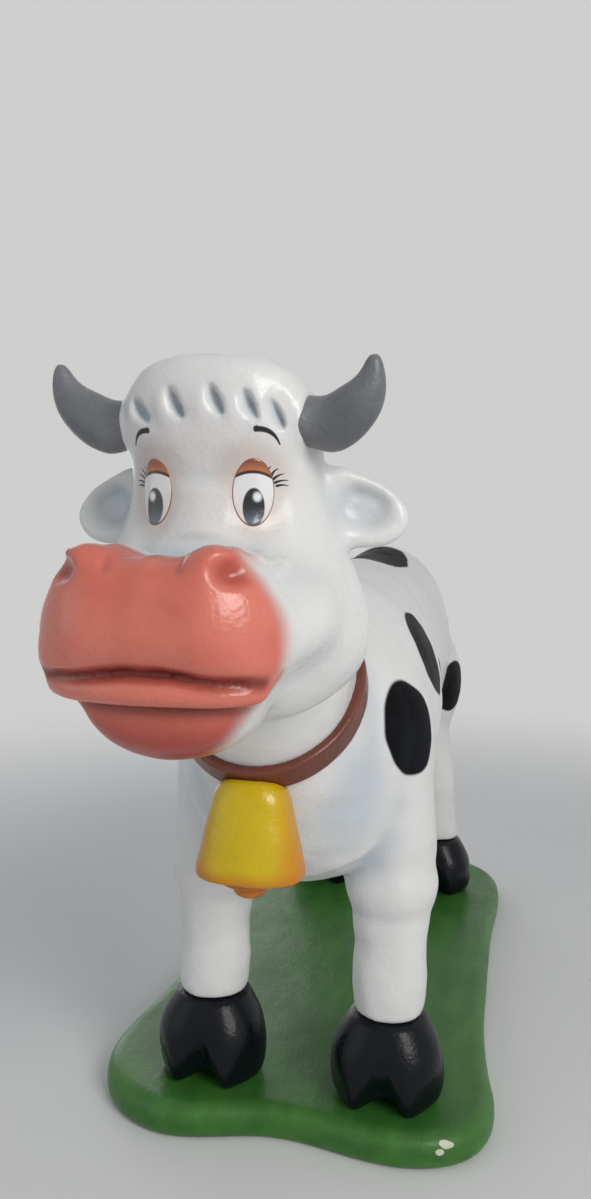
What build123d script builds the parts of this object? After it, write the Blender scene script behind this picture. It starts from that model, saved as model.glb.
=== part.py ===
from build123d import *
import os
from math import copysign, cos, pi, radians, sin

# A painted display cow that stands on a green base: carved blocks with a hard painted coat,
# glued and dowelled together, with a steel rod through each leg into the base.
# +Z is up, the origin is the middle of the base's underside, the cow faces -Y
# and its left side is +X.

# Fits
glue_gap = 0.2
rod_clearance = 0.15
cut_overrun = 2.0

# Base
base_length = 848.0
base_width = 402.0
base_thickness = 32.0
base_top_round = 14.0
base_bottom_round = 9.0

# Stance: where the legs stand on the base
front_leg_setback = 93.0
wheelbase = 585.0
front_track = 180.0
rear_track = 180.0
rear_leg_lean = 18.0

# Legs and hooves
hoof_height = 83.0
hoof_width = 113.0
hoof_length = 86.0
leg_length = 157.0
cuff_diameter = 71.0

# Rods, washers and nuts that hold the legs to the base
rod_diameter = 10.0
rod_grip_in_body = 60.0
rod_tail = 2.0
washer_diameter = 24.0
washer_thickness = 2.0
nut_across_flats = 17.0
nut_height = 8.0
counterbore_diameter = 30.0
counterbore_depth = 14.0

# Body
body_length = 812.0
body_width = 252.0
body_depth = 324.0
body_height = 368.0
chest_overhang = 125.0
shoulder_height = 200.0
thigh_height = 200.0

# Neck and collar
neck_width = 146.0
neck_thickness = 168.0
neck_tilt = 45.0
neck_rise = 414.0
neck_reach = 133.0
neck_length = 130.0
neck_rod_diameter = 12.0
neck_rod_length = 160.0
collar_width = 26.0
collar_thickness = 8.0
collar_round = 3.5

# Head
head_height = 250.0
head_width = 202.0
head_depth = 148.0
head_rise = 409.0
head_reach = 264.0
crown_lean = 20.0

# Fringe: a row of slanted leaf-shaped nicks under the hair
fringe_nicks = 5
fringe_nick_length = 27.0
fringe_nick_width = 9.0
fringe_nick_depth = 5.0
fringe_spacing = 21.5
fringe_rise = 210.0
fringe_slant = 28.0
fringe_shift = 8.0
fringe_reach = 70.0
fringe_half_width = 66.0

# Muzzle and lower jaw
muzzle_width = 151.0
muzzle_height = 77.0
muzzle_depth = 84.0
muzzle_rise = 48.0
muzzle_reach = 79.0
muzzle_inset = 34.0
muzzle_dowel_spacing = 80.0
nostril_spacing = 92.0
nostril_width = 26.0
nostril_height = 18.0
nostril_depth = 22.0
nostril_setback = 4.0
nostril_drop = 15.0
jaw_width = 120.0
jaw_height = 62.0
jaw_depth = 76.0
jaw_rise = -6.0
jaw_reach = 74.0
jaw_inset = 34.0
lip_width = 138.0
lip_thickness = 17.0
lip_depth = 28.0

# Eyes
eye_width = 27.0
eye_height = 48.0
eye_depth = 18.0
eye_spacing = 64.0
eye_rise = 155.0
eye_reach = 45.0

# Horns
horn_base_diameter = 39.0
horn_rise = 204.0
horn_reach = 20.0
horn_root = 52.0
horn_spread = 55.0
horn_lift = 43.0
horn_forward = 22.0

# Ears
ear_length = 66.0
ear_height = 59.0
ear_thickness = 18.0
ear_round = 7.0
ear_bowl_depth = 9.0
ear_bowl_rim = 8.0
ear_rise = 155.0
ear_root = 62.0
ear_setback = 8.0
ear_sweep = 16.0
ear_droop = 2.0

# Bell and clapper
bell_height = 80.0
bell_width = 88.0
bell_depth = 64.0
bell_drop = 60.0
bell_forward = 57.0
clapper_diameter = 42.0
clapper_length = 17.0
clapper_step = 6.0
clapper_knob_diameter = 28.0
clapper_round = 3.0
clapper_knob_round = 8.0

# Tail and udder
tail_drop = 230.0
tail_standoff = 52.0
tail_arch = 14.0
tail_diameter = 24.0
tail_rise = 100.0
tail_inset = 26.0
tuft_length = 86.0
tuft_width = 46.0
udder_width = 116.0
udder_length = 150.0
udder_depth = 76.0
udder_setback = 120.0
udder_inset = 6.0
teat_spacing = 56.0
teat_diameter = 17.0
teat_length = 26.0
teat_round = 5.0

# Dowels that join the small blocks
face_dowel_diameter = 10.0
face_dowel_length = 40.0
horn_dowel_diameter = 8.0
horn_dowel_length = 40.0
ear_dowel_diameter = 6.0
ear_dowel_length = 24.0
tail_dowel_diameter = 8.0
tail_dowel_length = 44.0

# Places worked out from the sizes above
deck = base_thickness
front_leg_y = front_leg_setback - base_length / 2
rear_leg_y = front_leg_y + wheelbase
cuff_z = deck + hoof_height
leg_top_z = cuff_z + leg_length
body_front_y = front_leg_y - chest_overhang
body_centre_z = deck + body_height
collar_y = front_leg_y - neck_reach
collar_z = deck + neck_rise
head_y = front_leg_y - head_reach
head_z = deck + head_rise
muzzle_y = head_y - muzzle_reach
muzzle_z = head_z + muzzle_rise
jaw_y = head_y - jaw_reach
jaw_z = head_z + jaw_rise
nostril_y = muzzle_y - muzzle_depth + nostril_setback
nostril_z = muzzle_z + muzzle_height - nostril_drop
eye_y = head_y - eye_reach
eye_z = head_z + eye_rise
horn_y = head_y - horn_reach
horn_z = head_z + horn_rise
ear_y = head_y + ear_setback
ear_z = head_z + ear_rise
bell_y = collar_y - bell_forward
bell_z = collar_z - bell_drop - bell_height
tail_y = body_front_y + body_length - tail_inset
tail_z = body_centre_z + tail_rise
udder_y = rear_leg_y - udder_setback
udder_z = body_centre_z - body_depth / 2 + udder_inset
neck_axis = (0, -sin(radians(neck_tilt)), cos(radians(neck_tilt)))
collar_plane = Plane(origin=(0, collar_y, collar_z), x_dir=(1, 0, 0), z_dir=neck_axis)
sides = {"left": 1, "right": -1}

# Where each leg stands, how far its top leans in, and where its rod runs
leg_places = {}
rod_places = []
for side_name, side in sides.items():
    leg_places[f"front_{side_name}"] = (side * front_track / 2, front_leg_y, 0)
    leg_places[f"rear_{side_name}"] = (side * rear_track / 2, rear_leg_y, side * rear_leg_lean)
    rod_places.append((side * front_track / 2, front_leg_y))
    rod_places.append((side * (rear_track - rear_leg_lean) / 2, rear_leg_y))

# How finely the smooth sections are drawn
oval_points = 12
egg_levels = 7


def level_plane(x, y, z):
    """A plane that lies flat at a point, seen from above."""
    return Plane(origin=(x, y, z), x_dir=(1, 0, 0), z_dir=(0, 0, 1))


def cross_plane(x, y, z):
    """An upright plane across the cow, seen from the front."""
    return Plane(origin=(x, y, z), x_dir=(1, 0, 0), z_dir=(0, -1, 0))


def side_plane(x, y, z):
    """An upright plane along the cow, with its first axis towards the nose."""
    return Plane(origin=(x, y, z), x_dir=(0, -1, 0), z_dir=(-1, 0, 0))


def path_plane(path, along_share, sideways):
    """A plane across a path, its first axis held to one direction so that sections don't twist."""
    direction = path % along_share
    first_axis = Vector(*sideways) - direction * direction.dot(Vector(*sideways))
    return Plane(origin=path @ along_share, x_dir=first_axis, z_dir=direction)


def mirrored_plane(plane):
    """The same plane on the cow's other side."""
    origin, normal = plane.origin, plane.z_dir
    return Plane(origin=(-origin.X, origin.Y, origin.Z), z_dir=(-normal.X, normal.Y, normal.Z))


def closed_shape(plane, points):
    """A face inside one smooth closed curve."""
    with BuildSketch(plane) as section:
        with BuildLine():
            Spline(points, periodic=True)
        make_face()
    return section.sketch


def oval(plane, half_width, half_height, squareness=2, far_squareness=None):
    """A closed smooth section: an ellipse, or a squarer oval. Its far half may have its own squareness."""
    points = []
    for step in range(oval_points):
        angle = 2 * pi * step / oval_points
        power = 2 / (far_squareness if far_squareness and sin(angle) > 0 else squareness)
        across = copysign(abs(cos(angle)) ** power, cos(angle))
        up = copysign(abs(sin(angle)) ** power, sin(angle))
        points.append((half_width * across, half_height * up))
    return closed_shape(plane, points)


def egg_sections(x, y, z, sizes):
    """Level ovals that stack into a rounded egg of the given width, depth and height."""
    width, depth, height = sizes
    sections = []
    for step in range(egg_levels):
        angle = pi * (step + 0.5) / egg_levels
        plane = level_plane(x, y, z - cos(angle) * height / 2)
        sections.append(oval(plane, sin(angle) * width / 2, sin(angle) * depth / 2))
    return sections


def mirrored_stations(shares):
    """The right half of a table, from the middle outwards, made into a whole row of stations."""
    left_half = [(-row[0], *row[1:]) for row in reversed(shares[1:])]
    return left_half + list(shares)


def drill(plane, diameter, depth):
    """Drills a round hole to the same depth on both sides of a plane."""
    with BuildSketch(plane) as mouth:
        Circle(diameter / 2)
    extrude(mouth.sketch, amount=depth, both=True, mode=Mode.SUBTRACT)


def drill_for_dowel(plane, diameter, length):
    """Drills the socket of a dowel that is centred on a joint."""
    drill(plane, diameter + 2 * glue_gap, length / 2 + glue_gap)


def save(piece, name):
    """Labels a finished piece and writes its file."""
    piece.part.label = name
    export_step(piece.part, f"parts/{name}.step")


os.makedirs("parts", exist_ok=True)

# Base: a flat slab with a wavy outline that is drawn in at the front and on the sides
base_outline_shares = [
    (0.96, -0.68), (0.90, -0.08), (0.93, 0.44), (0.84, 0.86), (0.45, 1.00),
    (-0.45, 1.00), (-0.86, 0.84), (-0.95, 0.40), (-0.96, 0.00), (-1.02, -0.50),
    (-0.94, -0.87), (-0.60, -0.97), (-0.08, -0.92), (0.58, -0.945), (0.87, -0.88),
]
with BuildPart() as base_plinth:
    with BuildSketch():
        with BuildLine():
            outline = [(x * base_width / 2, y * base_length / 2) for x, y in base_outline_shares]
            Spline(outline, periodic=True)
        make_face()
    extrude(amount=base_thickness)
    fillet(base_plinth.faces().sort_by(Axis.Z)[-1].edges(), base_top_round)
    fillet(base_plinth.faces().sort_by(Axis.Z)[0].edges(), base_bottom_round)
    with Locations(*[Plane(origin=(x, y, 0), z_dir=(0, 0, -1)) for x, y in rod_places]):
        CounterBoreHole(rod_diameter / 2 + rod_clearance, counterbore_diameter / 2, counterbore_depth)
save(base_plinth, "base_plinth")

# Rods: one through each leg, from the nut under the base up into the body
washer_z = counterbore_depth - washer_thickness
nut_z = washer_z - nut_height
rod_bottom = nut_z - rod_tail
rod_top = leg_top_z + rod_grip_in_body
with BuildPart() as leg_rods:
    for x, y in rod_places:
        with BuildSketch(level_plane(x, y, rod_bottom)):
            Circle(rod_diameter / 2)
        extrude(amount=rod_top - rod_bottom)
save(leg_rods, "leg_rods")

with BuildPart() as rod_washers:
    for x, y in rod_places:
        with BuildSketch(level_plane(x, y, washer_z)):
            Circle(washer_diameter / 2)
            Circle(rod_diameter / 2 + rod_clearance, mode=Mode.SUBTRACT)
        extrude(amount=washer_thickness)
save(rod_washers, "rod_washers")

with BuildPart() as rod_nuts:
    for x, y in rod_places:
        with BuildSketch(level_plane(x, y, nut_z)):
            RegularPolygon(nut_across_flats / 2, 6, major_radius=False)
            Circle(rod_diameter / 2 + rod_clearance, mode=Mode.SUBTRACT)
        extrude(amount=nut_height)
save(rod_nuts, "rod_nuts")

# Hooves: two swollen toes that run together, with the cleft between them low at the front.
# Shares: height; toe centre and half width, of the hoof's half width; half depth and
# forward shift, of its half length.
toe_shares = [
    (0.00, 0.46, 0.38, 0.72, 0.14),
    (0.10, 0.46, 0.49, 0.87, 0.15),
    (0.30, 0.38, 0.61, 0.98, 0.15),
    (0.55, 0.28, 0.68, 1.00, 0.12),
    (0.78, 0.17, 0.66, 0.94, 0.06),
    (1.00, 0.08, 0.56, 0.82, 0.00),
]
# Legs: round posts. The front ones swell at the knee, the rear ones lean in and narrow
# above the hock. Shares: height, radius of the cuff's radius.
front_leg_shares = [
    (0.00, 1.00), (0.10, 1.01), (0.36, 1.00), (0.58, 1.08), (0.74, 1.20), (0.88, 1.17), (1.00, 1.20),
]
rear_leg_shares = [
    (0.00, 1.00), (0.10, 1.01), (0.36, 0.99), (0.56, 1.06), (0.74, 1.04), (0.88, 1.00), (1.00, 1.02),
]


def toe_sections(x, y, side):
    """The stack of level ovals of one toe."""
    sections = []
    for height, centre, half_width, half_depth, forward in toe_shares:
        toe_x = x + side * centre * hoof_width / 2
        toe_y = y - forward * hoof_length / 2
        plane = level_plane(toe_x, toe_y, deck + height * hoof_height)
        sections.append(oval(plane, half_width * hoof_width / 2, half_depth * hoof_length / 2))
    return sections


def leg_sections(x, y, lean, shares):
    """The stack of level circles of one leg."""
    sections = []
    for height, radius in shares:
        plane = level_plane(x - height * lean, y, cuff_z + height * leg_length)
        sections.append(oval(plane, radius * cuff_diameter / 2, radius * cuff_diameter / 2))
    return sections


legs = {}
for place, (x, y, lean) in leg_places.items():
    rod_plane = level_plane(x - lean / 2, y, cuff_z)
    with BuildPart() as hoof:
        for side in sides.values():
            loft(toe_sections(x, y, side))
        drill(rod_plane, rod_diameter + 2 * rod_clearance, hoof_height)
    save(hoof, f"{place}_hoof")

    with BuildPart() as leg:
        leg_shares = front_leg_shares if place.startswith("front") else rear_leg_shares
        loft(leg_sections(x, y, lean, leg_shares))
        drill(rod_plane, rod_diameter + 2 * rod_clearance, leg_length)
    save(leg, f"{place}_leg")
    legs[place] = leg

# Body: a barrel with shoulders and thighs that carry the legs, and the root of the neck.
# Shares: length, half width, half depth, and centre height as a share of the half depth.
barrel_shares = [
    (0.000, 0.18, 0.18, -0.20),
    (0.020, 0.50, 0.46, -0.18),
    (0.065, 0.80, 0.74, -0.12),
    (0.154, 0.97, 0.93, -0.06),
    (0.296, 1.00, 0.96, -0.02),
    (0.443, 0.92, 0.97, 0.00),
    (0.616, 0.84, 0.96, 0.04),
    (0.760, 0.83, 0.97, 0.09),
    (0.870, 0.83, 0.97, 0.14),
    (0.943, 0.70, 0.80, 0.18),
    (0.984, 0.44, 0.50, 0.22),
    (1.000, 0.16, 0.18, 0.24),
]
# Shares: height; inward shift, half width and half depth, of the cuff's radius.
shoulder_shares = [
    (0.00, 0.00, 1.20, 1.20),
    (0.15, 0.06, 1.26, 1.38),
    (0.38, 0.24, 1.34, 1.70),
    (0.68, 0.46, 1.48, 1.92),
    (0.90, 0.72, 1.24, 1.62),
    (1.00, 0.90, 0.72, 1.00),
]
thigh_shares = [
    (0.00, 0.00, 1.02, 1.02),
    (0.15, -0.06, 1.14, 1.30),
    (0.40, -0.06, 1.50, 2.00),
    (0.62, 0.16, 1.52, 2.30),
    (0.88, 0.50, 1.24, 1.96),
    (1.00, 0.70, 0.76, 1.20),
]
# Shares: place along the neck from the collar, half width, half depth.
neck_collar_share = 0.14
neck_root_shares = [(-1.25, 1.36, 1.12), (-0.60, 1.20, 1.12), (-neck_collar_share, 1.00, 1.00)]


def limb_sections(x, y, height, shares):
    """The stack of level ovals of a shoulder or a thigh, leaning in towards the spine."""
    sections = []
    for rise, inward, half_width, half_depth in shares:
        limb_x = x - copysign(inward * cuff_diameter / 2, x)
        plane = level_plane(limb_x, y, leg_top_z + rise * height)
        sections.append(oval(plane, half_width * cuff_diameter / 2, half_depth * cuff_diameter / 2))
    return sections


def neck_sections(shares):
    """Ovals across the neck, at shares of the neck's length from the collar."""
    sections = []
    for along, half_width, half_depth in shares:
        plane = collar_plane.offset(along * neck_length)
        sections.append(oval(plane, half_width * neck_width / 2, half_depth * neck_thickness / 2))
    return sections


barrel_sections = []
for along, half_width, half_depth, centre in barrel_shares:
    plane = cross_plane(0, body_front_y + along * body_length, body_centre_z + centre * body_depth / 2)
    barrel_sections.append(oval(plane, half_width * body_width / 2, half_depth * body_depth / 2))

# Tail path: it arches off the rump and hangs behind the thighs. Shares: standoff, drop, arch.
tail_path_shares = [
    (0.00, 0.00, 0.00), (0.60, 0.00, 1.00), (1.00, 0.30, 0.00), (0.96, 0.66, 0.00), (0.92, 1.00, 0.00),
]
with BuildLine() as tail_line:
    Spline([(0, tail_y + out * tail_standoff, tail_z - down * tail_drop + up * tail_arch)
            for out, down, up in tail_path_shares])
tail_path = tail_line.edge()
tail_root = path_plane(tail_path, 0, (1, 0, 0))

with BuildPart() as body:
    loft(barrel_sections)
    for place, (x, y, lean) in leg_places.items():
        if place.startswith("front"):
            loft(limb_sections(x, y, shoulder_height, shoulder_shares))
        else:
            loft(limb_sections(x - lean, y, thigh_height, thigh_shares))
    loft(neck_sections(neck_root_shares))
    extrude(neck_sections(neck_root_shares)[-1], amount=neck_collar_share * neck_length)
    for leg in legs.values():
        add(leg.part, mode=Mode.SUBTRACT)
    for x, y in rod_places:
        drill(level_plane(x, y, leg_top_z), rod_diameter + 2 * rod_clearance, rod_grip_in_body + glue_gap)
    drill_for_dowel(collar_plane, neck_rod_diameter, neck_rod_length)
    drill_for_dowel(tail_root, tail_dowel_diameter, tail_dowel_length)
save(body, "body")

# Muzzle: the big soft nose and upper lip, swollen over the nostrils, with drooping corners.
# The profile runs from the lip's underside round the front and over the nose; its shares are
# of the muzzle's depth, from its back to its front, and of its height.
muzzle_profile_shares = [
    (0.40, 0.01), (0.82, 0.00), (0.955, 0.06), (1.00, 0.26), (0.99, 0.52), (0.945, 0.80),
    (0.86, 0.95), (0.66, 1.00), (0.34, 0.98), (0.08, 0.84), (0.00, 0.45), (0.10, 0.10),
]
# Shares: place across, back and front of the depth, bottom and top of the height.
muzzle_shares = [
    (0.00, -0.50, 1.00, 0.07, 0.90),
    (0.30, -0.50, 0.99, 0.06, 0.92),
    (0.55, -0.46, 0.95, 0.02, 0.98),
    (0.72, -0.40, 0.87, 0.00, 0.88),
    (0.87, -0.30, 0.76, -0.01, 0.66),
    (0.96, -0.18, 0.62, 0.06, 0.46),
    (1.00, -0.02, 0.48, 0.18, 0.30),
]
# Lower jaw: a rounded chin, with the same kinds of shares, under a rolled lip
jaw_profile_shares = [
    (0.40, 1.00), (0.70, 1.00), (0.84, 0.93), (0.88, 0.80), (0.875, 0.66), (0.89, 0.52),
    (0.88, 0.36), (0.76, 0.13), (0.47, 0.00), (0.14, 0.06), (0.00, 0.50), (0.12, 0.92),
]
jaw_shares = [
    (0.00, -0.36, 1.00, 0.00, 1.00),
    (0.35, -0.36, 0.98, 0.05, 0.99),
    (0.63, -0.32, 0.91, 0.19, 0.96),
    (0.85, -0.24, 0.79, 0.41, 0.92),
    (0.96, -0.10, 0.68, 0.56, 0.88),
    (1.00, 0.06, 0.58, 0.64, 0.84),
]
# Lip: a roll from corner to corner. Shares: place across the lip's width, centre forward of the
# jaw's depth and up its height, thickness.
lip_shares = [
    (0.00, 0.87, 0.83, 1.00),
    (0.35, 0.85, 0.83, 1.00),
    (0.62, 0.78, 0.82, 0.98),
    (0.82, 0.67, 0.82, 0.92),
    (0.94, 0.56, 0.83, 0.76),
    (1.00, 0.48, 0.84, 0.44),
]


def face_sections(stations, profile, sizes, y, z):
    """Upright sections along the cow, one for each place across the muzzle or the jaw."""
    width, depth, height = sizes
    sections = []
    for across, back, front, bottom, top in mirrored_stations(stations):
        points = []
        for forward, up in profile:
            ahead = back + forward * (front - back)
            above = bottom + up * (top - bottom)
            points.append((ahead * depth, above * height))
        sections.append(closed_shape(side_plane(across * width / 2, y, z), points))
    return sections


muzzle_seat_y = muzzle_y + muzzle_inset
jaw_seat_y = jaw_y + jaw_inset
muzzle_dowels_at = [
    cross_plane(side * muzzle_dowel_spacing / 2, muzzle_seat_y, muzzle_z + muzzle_height / 2)
    for side in sides.values()
]
jaw_dowel_at = cross_plane(0, jaw_seat_y, jaw_z + jaw_height / 2)
lip_sections = []
for across, forward, up, thickness in mirrored_stations(lip_shares):
    plane = side_plane(across * lip_width / 2, jaw_y - forward * jaw_depth, jaw_z + up * jaw_height)
    lip_sections.append(oval(plane, thickness * lip_depth / 2, thickness * lip_thickness / 2))
with BuildPart() as muzzle:
    muzzle_sizes = (muzzle_width, muzzle_depth, muzzle_height)
    loft(face_sections(muzzle_shares, muzzle_profile_shares, muzzle_sizes, muzzle_y, muzzle_z))
    split(bisect_by=cross_plane(0, muzzle_seat_y, muzzle_z))
    nostril_sizes = (nostril_width, nostril_depth, nostril_height)
    for side in sides.values():
        nostril = egg_sections(side * nostril_spacing / 2, nostril_y, nostril_z, nostril_sizes)
        loft(nostril, mode=Mode.SUBTRACT)
    for plane in muzzle_dowels_at:
        drill_for_dowel(plane, face_dowel_diameter, face_dowel_length)
save(muzzle, "muzzle")

with BuildPart() as lower_jaw:
    jaw_sizes = (jaw_width, jaw_depth, jaw_height)
    loft(face_sections(jaw_shares, jaw_profile_shares, jaw_sizes, jaw_y, jaw_z))
    loft(lip_sections)
    split(bisect_by=cross_plane(0, jaw_seat_y, jaw_z))
    drill_for_dowel(jaw_dowel_at, face_dowel_diameter, face_dowel_length)
    add(muzzle.part, mode=Mode.SUBTRACT)
save(lower_jaw, "lower_jaw")

# Eyes: smooth ovals set into the face
eyes = {}
for side_name, side in sides.items():
    with BuildPart() as eye:
        loft(egg_sections(side * eye_spacing / 2, eye_y, eye_z, (eye_width, eye_depth, eye_height)))
    save(eye, f"{side_name}_eye")
    eyes[side_name] = eye

# Horns: round, thick at the root, turning out and then up to a blunt tip.
# Path shares: spread, lift, forward. Thickness shares: place along the path, diameter.
horn_path_shares = [(0.00, 0.00, 0.00), (0.58, 0.10, 0.30), (0.90, 0.46, 0.65), (1.00, 1.00, 1.00)]
horn_thickness_shares = [
    (0.00, 1.00), (0.30, 0.97), (0.52, 0.86), (0.72, 0.66), (0.90, 0.42), (0.97, 0.28), (1.00, 0.12),
]
with BuildLine() as horn_line:
    Spline([(horn_root + out * horn_spread, horn_y - ahead * horn_forward, horn_z + up * horn_lift)
            for out, up, ahead in horn_path_shares])
horn_path = horn_line.edge()
horn_root_plane = path_plane(horn_path, 0, (0, 1, 0))
horn_sections = []
for along, thickness in horn_thickness_shares:
    radius = thickness * horn_base_diameter / 2
    horn_sections.append(oval(path_plane(horn_path, along, (0, 1, 0)), radius, radius))
with BuildPart() as left_horn:
    loft(horn_sections)
    drill_for_dowel(horn_root_plane, horn_dowel_diameter, horn_dowel_length)
with BuildPart() as right_horn:
    mirror(left_horn.part, about=Plane.YZ)
save(left_horn, "left_horn")
save(right_horn, "right_horn")

# Ears: thick drooping leaves with a rolled rim and a shallow bowl that faces forward.
# Shares: of the ear's length from its root, and of its half height.
ear_outline_shares = [
    (-0.08, 0.06), (-0.02, 0.62), (0.16, 0.93), (0.42, 0.80), (0.70, 0.54), (0.91, 0.18),
    (1.00, -0.24), (0.93, -0.66), (0.76, -0.92), (0.50, -1.00), (0.20, -0.90), (-0.02, -0.50),
]
ear_middle_share = 0.5
ear_floor_share = 0.5
ear_outward = Vector(1, 0, 0).rotate(Axis.Y, ear_droop).rotate(Axis.Z, ear_sweep)
ear_forward = Vector(0, -1, 0).rotate(Axis.Z, ear_sweep)
ear_plane = Plane(origin=(ear_root, ear_y, ear_z), x_dir=ear_outward, z_dir=ear_forward)
ear_root_plane = Plane(origin=(ear_root, ear_y, ear_z), z_dir=ear_outward)
ear_mouth_shares = (1 - 2 * ear_bowl_rim / ear_length, 1 - 2 * ear_bowl_rim / ear_height)


def ear_outline(plane, length_share, height_share):
    """The leaf, drawn in towards its middle by the given shares."""
    points = []
    for out, up in ear_outline_shares:
        along = ear_middle_share + (out - ear_middle_share) * length_share
        points.append((along * ear_length, up * height_share * ear_height / 2))
    return closed_shape(plane, points)


with BuildPart() as left_ear:
    extrude(ear_outline(ear_plane, 1, 1), amount=ear_thickness / 2, both=True)
    fillet(left_ear.edges().filter_by(GeomType.BSPLINE), ear_round)
    bowl_mouth = ear_outline(ear_plane.offset(ear_thickness / 2 + cut_overrun), *ear_mouth_shares)
    floor_shares = [share * ear_floor_share for share in ear_mouth_shares]
    bowl_floor = ear_outline(ear_plane.offset(ear_thickness / 2 - ear_bowl_depth), *floor_shares)
    loft([bowl_mouth, bowl_floor], mode=Mode.SUBTRACT)
    drill_for_dowel(ear_root_plane, ear_dowel_diameter, ear_dowel_length)
with BuildPart() as right_ear:
    mirror(left_ear.part, about=Plane.YZ)
save(left_ear, "left_ear")
save(right_ear, "right_ear")

# Head: a pear-shaped block, widest at the cheeks, on the upper half of the neck. Its front is
# drawn to a ridge at the nose and is broad at the forehead.
# Shares: height, half width, half depth, forward shift of the crown's lean, front squareness.
head_shares = [
    (0.000, 0.20, 0.24, 0.00, 2.00),
    (0.024, 0.46, 0.54, 0.00, 2.00),
    (0.075, 0.72, 0.80, 0.00, 2.00),
    (0.161, 0.93, 0.96, 0.00, 2.00),
    (0.260, 1.00, 1.00, 0.00, 2.15),
    (0.378, 0.95, 0.99, -0.05, 2.05),
    (0.496, 0.82, 0.94, -0.20, 1.90),
    (0.614, 0.71, 0.87, -0.38, 1.95),
    (0.713, 0.66, 0.83, -0.10, 2.25),
    (0.831, 0.66, 0.79, 0.50, 2.50),
    (0.929, 0.58, 0.66, 0.92, 2.50),
    (0.980, 0.39, 0.45, 1.20, 2.30),
    (1.000, 0.14, 0.17, 1.40, 2.10),
]
head_back_squareness = 2.2
fringe_squareness = 2.5
neck_top_shares = [
    (neck_collar_share, 1.00, 1.00), (0.50, 1.00, 0.97), (0.85, 0.86, 0.80), (1.05, 0.58, 0.52),
]
head_sections = []
for height, half_width, half_depth, lean, front_squareness in head_shares:
    plane = level_plane(0, head_y - lean * crown_lean, head_z + height * head_height)
    half_sizes = (half_width * head_width / 2, half_depth * head_depth / 2)
    head_sections.append(oval(plane, *half_sizes, front_squareness, head_back_squareness))
with BuildPart() as head:
    loft(head_sections)
    loft(neck_sections(neck_top_shares))
    extrude(neck_sections(neck_top_shares)[0], amount=-neck_collar_share * neck_length)
    for nick in range(fringe_nicks):
        nick_x = (nick - (fringe_nicks - 1) / 2) * fringe_spacing + fringe_shift
        bulge = (1 - abs(nick_x / fringe_half_width) ** fringe_squareness) ** (1 / fringe_squareness)
        nick_y = head_y - fringe_reach * bulge
        with BuildSketch(cross_plane(nick_x, nick_y + fringe_nick_depth, head_z + fringe_rise)):
            Ellipse(fringe_nick_width / 2, fringe_nick_length / 2, rotation=fringe_slant)
        extrude(amount=fringe_nick_length, mode=Mode.SUBTRACT)
    for piece in (muzzle, lower_jaw, *eyes.values(), left_horn, right_horn, left_ear, right_ear):
        add(piece.part, mode=Mode.SUBTRACT)
    drill_for_dowel(collar_plane, neck_rod_diameter, neck_rod_length)
    for plane in (*muzzle_dowels_at, jaw_dowel_at):
        drill_for_dowel(plane, face_dowel_diameter, face_dowel_length)
    for root, diameter, length in (
        (horn_root_plane, horn_dowel_diameter, horn_dowel_length),
        (ear_root_plane, ear_dowel_diameter, ear_dowel_length),
    ):
        drill_for_dowel(root, diameter, length)
        drill_for_dowel(mirrored_plane(root), diameter, length)
save(head, "head")

# Dowels and the neck rod, hidden in their sockets
with BuildPart() as neck_rod:
    with BuildSketch(collar_plane):
        Circle(neck_rod_diameter / 2)
    extrude(amount=neck_rod_length / 2, both=True)
save(neck_rod, "neck_rod")

with BuildPart() as face_dowels:
    for plane in (*muzzle_dowels_at, jaw_dowel_at):
        with BuildSketch(plane):
            Circle(face_dowel_diameter / 2)
        extrude(amount=face_dowel_length / 2, both=True)
save(face_dowels, "face_dowels")

with BuildPart() as horn_dowels:
    with BuildSketch(horn_root_plane):
        Circle(horn_dowel_diameter / 2)
    extrude(amount=horn_dowel_length / 2, both=True)
    mirror(about=Plane.YZ)
save(horn_dowels, "horn_dowels")

with BuildPart() as ear_dowels:
    with BuildSketch(ear_root_plane):
        Circle(ear_dowel_diameter / 2)
    extrude(amount=ear_dowel_length / 2, both=True)
    mirror(about=Plane.YZ)
save(ear_dowels, "ear_dowels")

with BuildPart() as tail_dowel:
    with BuildSketch(tail_root):
        Circle(tail_dowel_diameter / 2)
    extrude(amount=tail_dowel_length / 2, both=True)
save(tail_dowel, "tail_dowel")

# Collar: a strap round the neck that hides the seam between body and head
with BuildPart() as collar:
    extrude(
        oval(collar_plane, neck_width / 2 + collar_thickness, neck_thickness / 2 + collar_thickness),
        amount=collar_width / 2,
        both=True,
    )
    fillet(collar.edges().filter_by(GeomType.BSPLINE), collar_round)
    extrude(
        oval(collar_plane, neck_width / 2 + glue_gap, neck_thickness / 2 + glue_gap),
        amount=collar_width,
        both=True,
        mode=Mode.SUBTRACT,
    )
    add(body.part, mode=Mode.SUBTRACT)
save(collar, "collar")

# Bell: a flared block with a rounded crown and a crisp rim, leaning on the chest.
# Shares: height, half width, half depth.
bell_shares = [
    (0.00, 0.98, 0.98), (0.05, 1.00, 1.00), (0.20, 0.95, 0.96), (0.50, 0.83, 0.86),
    (0.78, 0.70, 0.74), (0.91, 0.58, 0.62), (0.98, 0.38, 0.41), (1.00, 0.20, 0.22),
]
bell_squareness = 2.3
bell_sections = []
for height, half_width, half_depth in bell_shares:
    plane = level_plane(0, bell_y, bell_z + height * bell_height)
    half_sizes = (half_width * bell_width / 2, half_depth * bell_depth / 2)
    bell_sections.append(oval(plane, *half_sizes, bell_squareness))
with BuildPart() as bell:
    loft(bell_sections)
    for piece in (body, head, collar):
        add(piece.part, mode=Mode.SUBTRACT)
save(bell, "bell")

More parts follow.
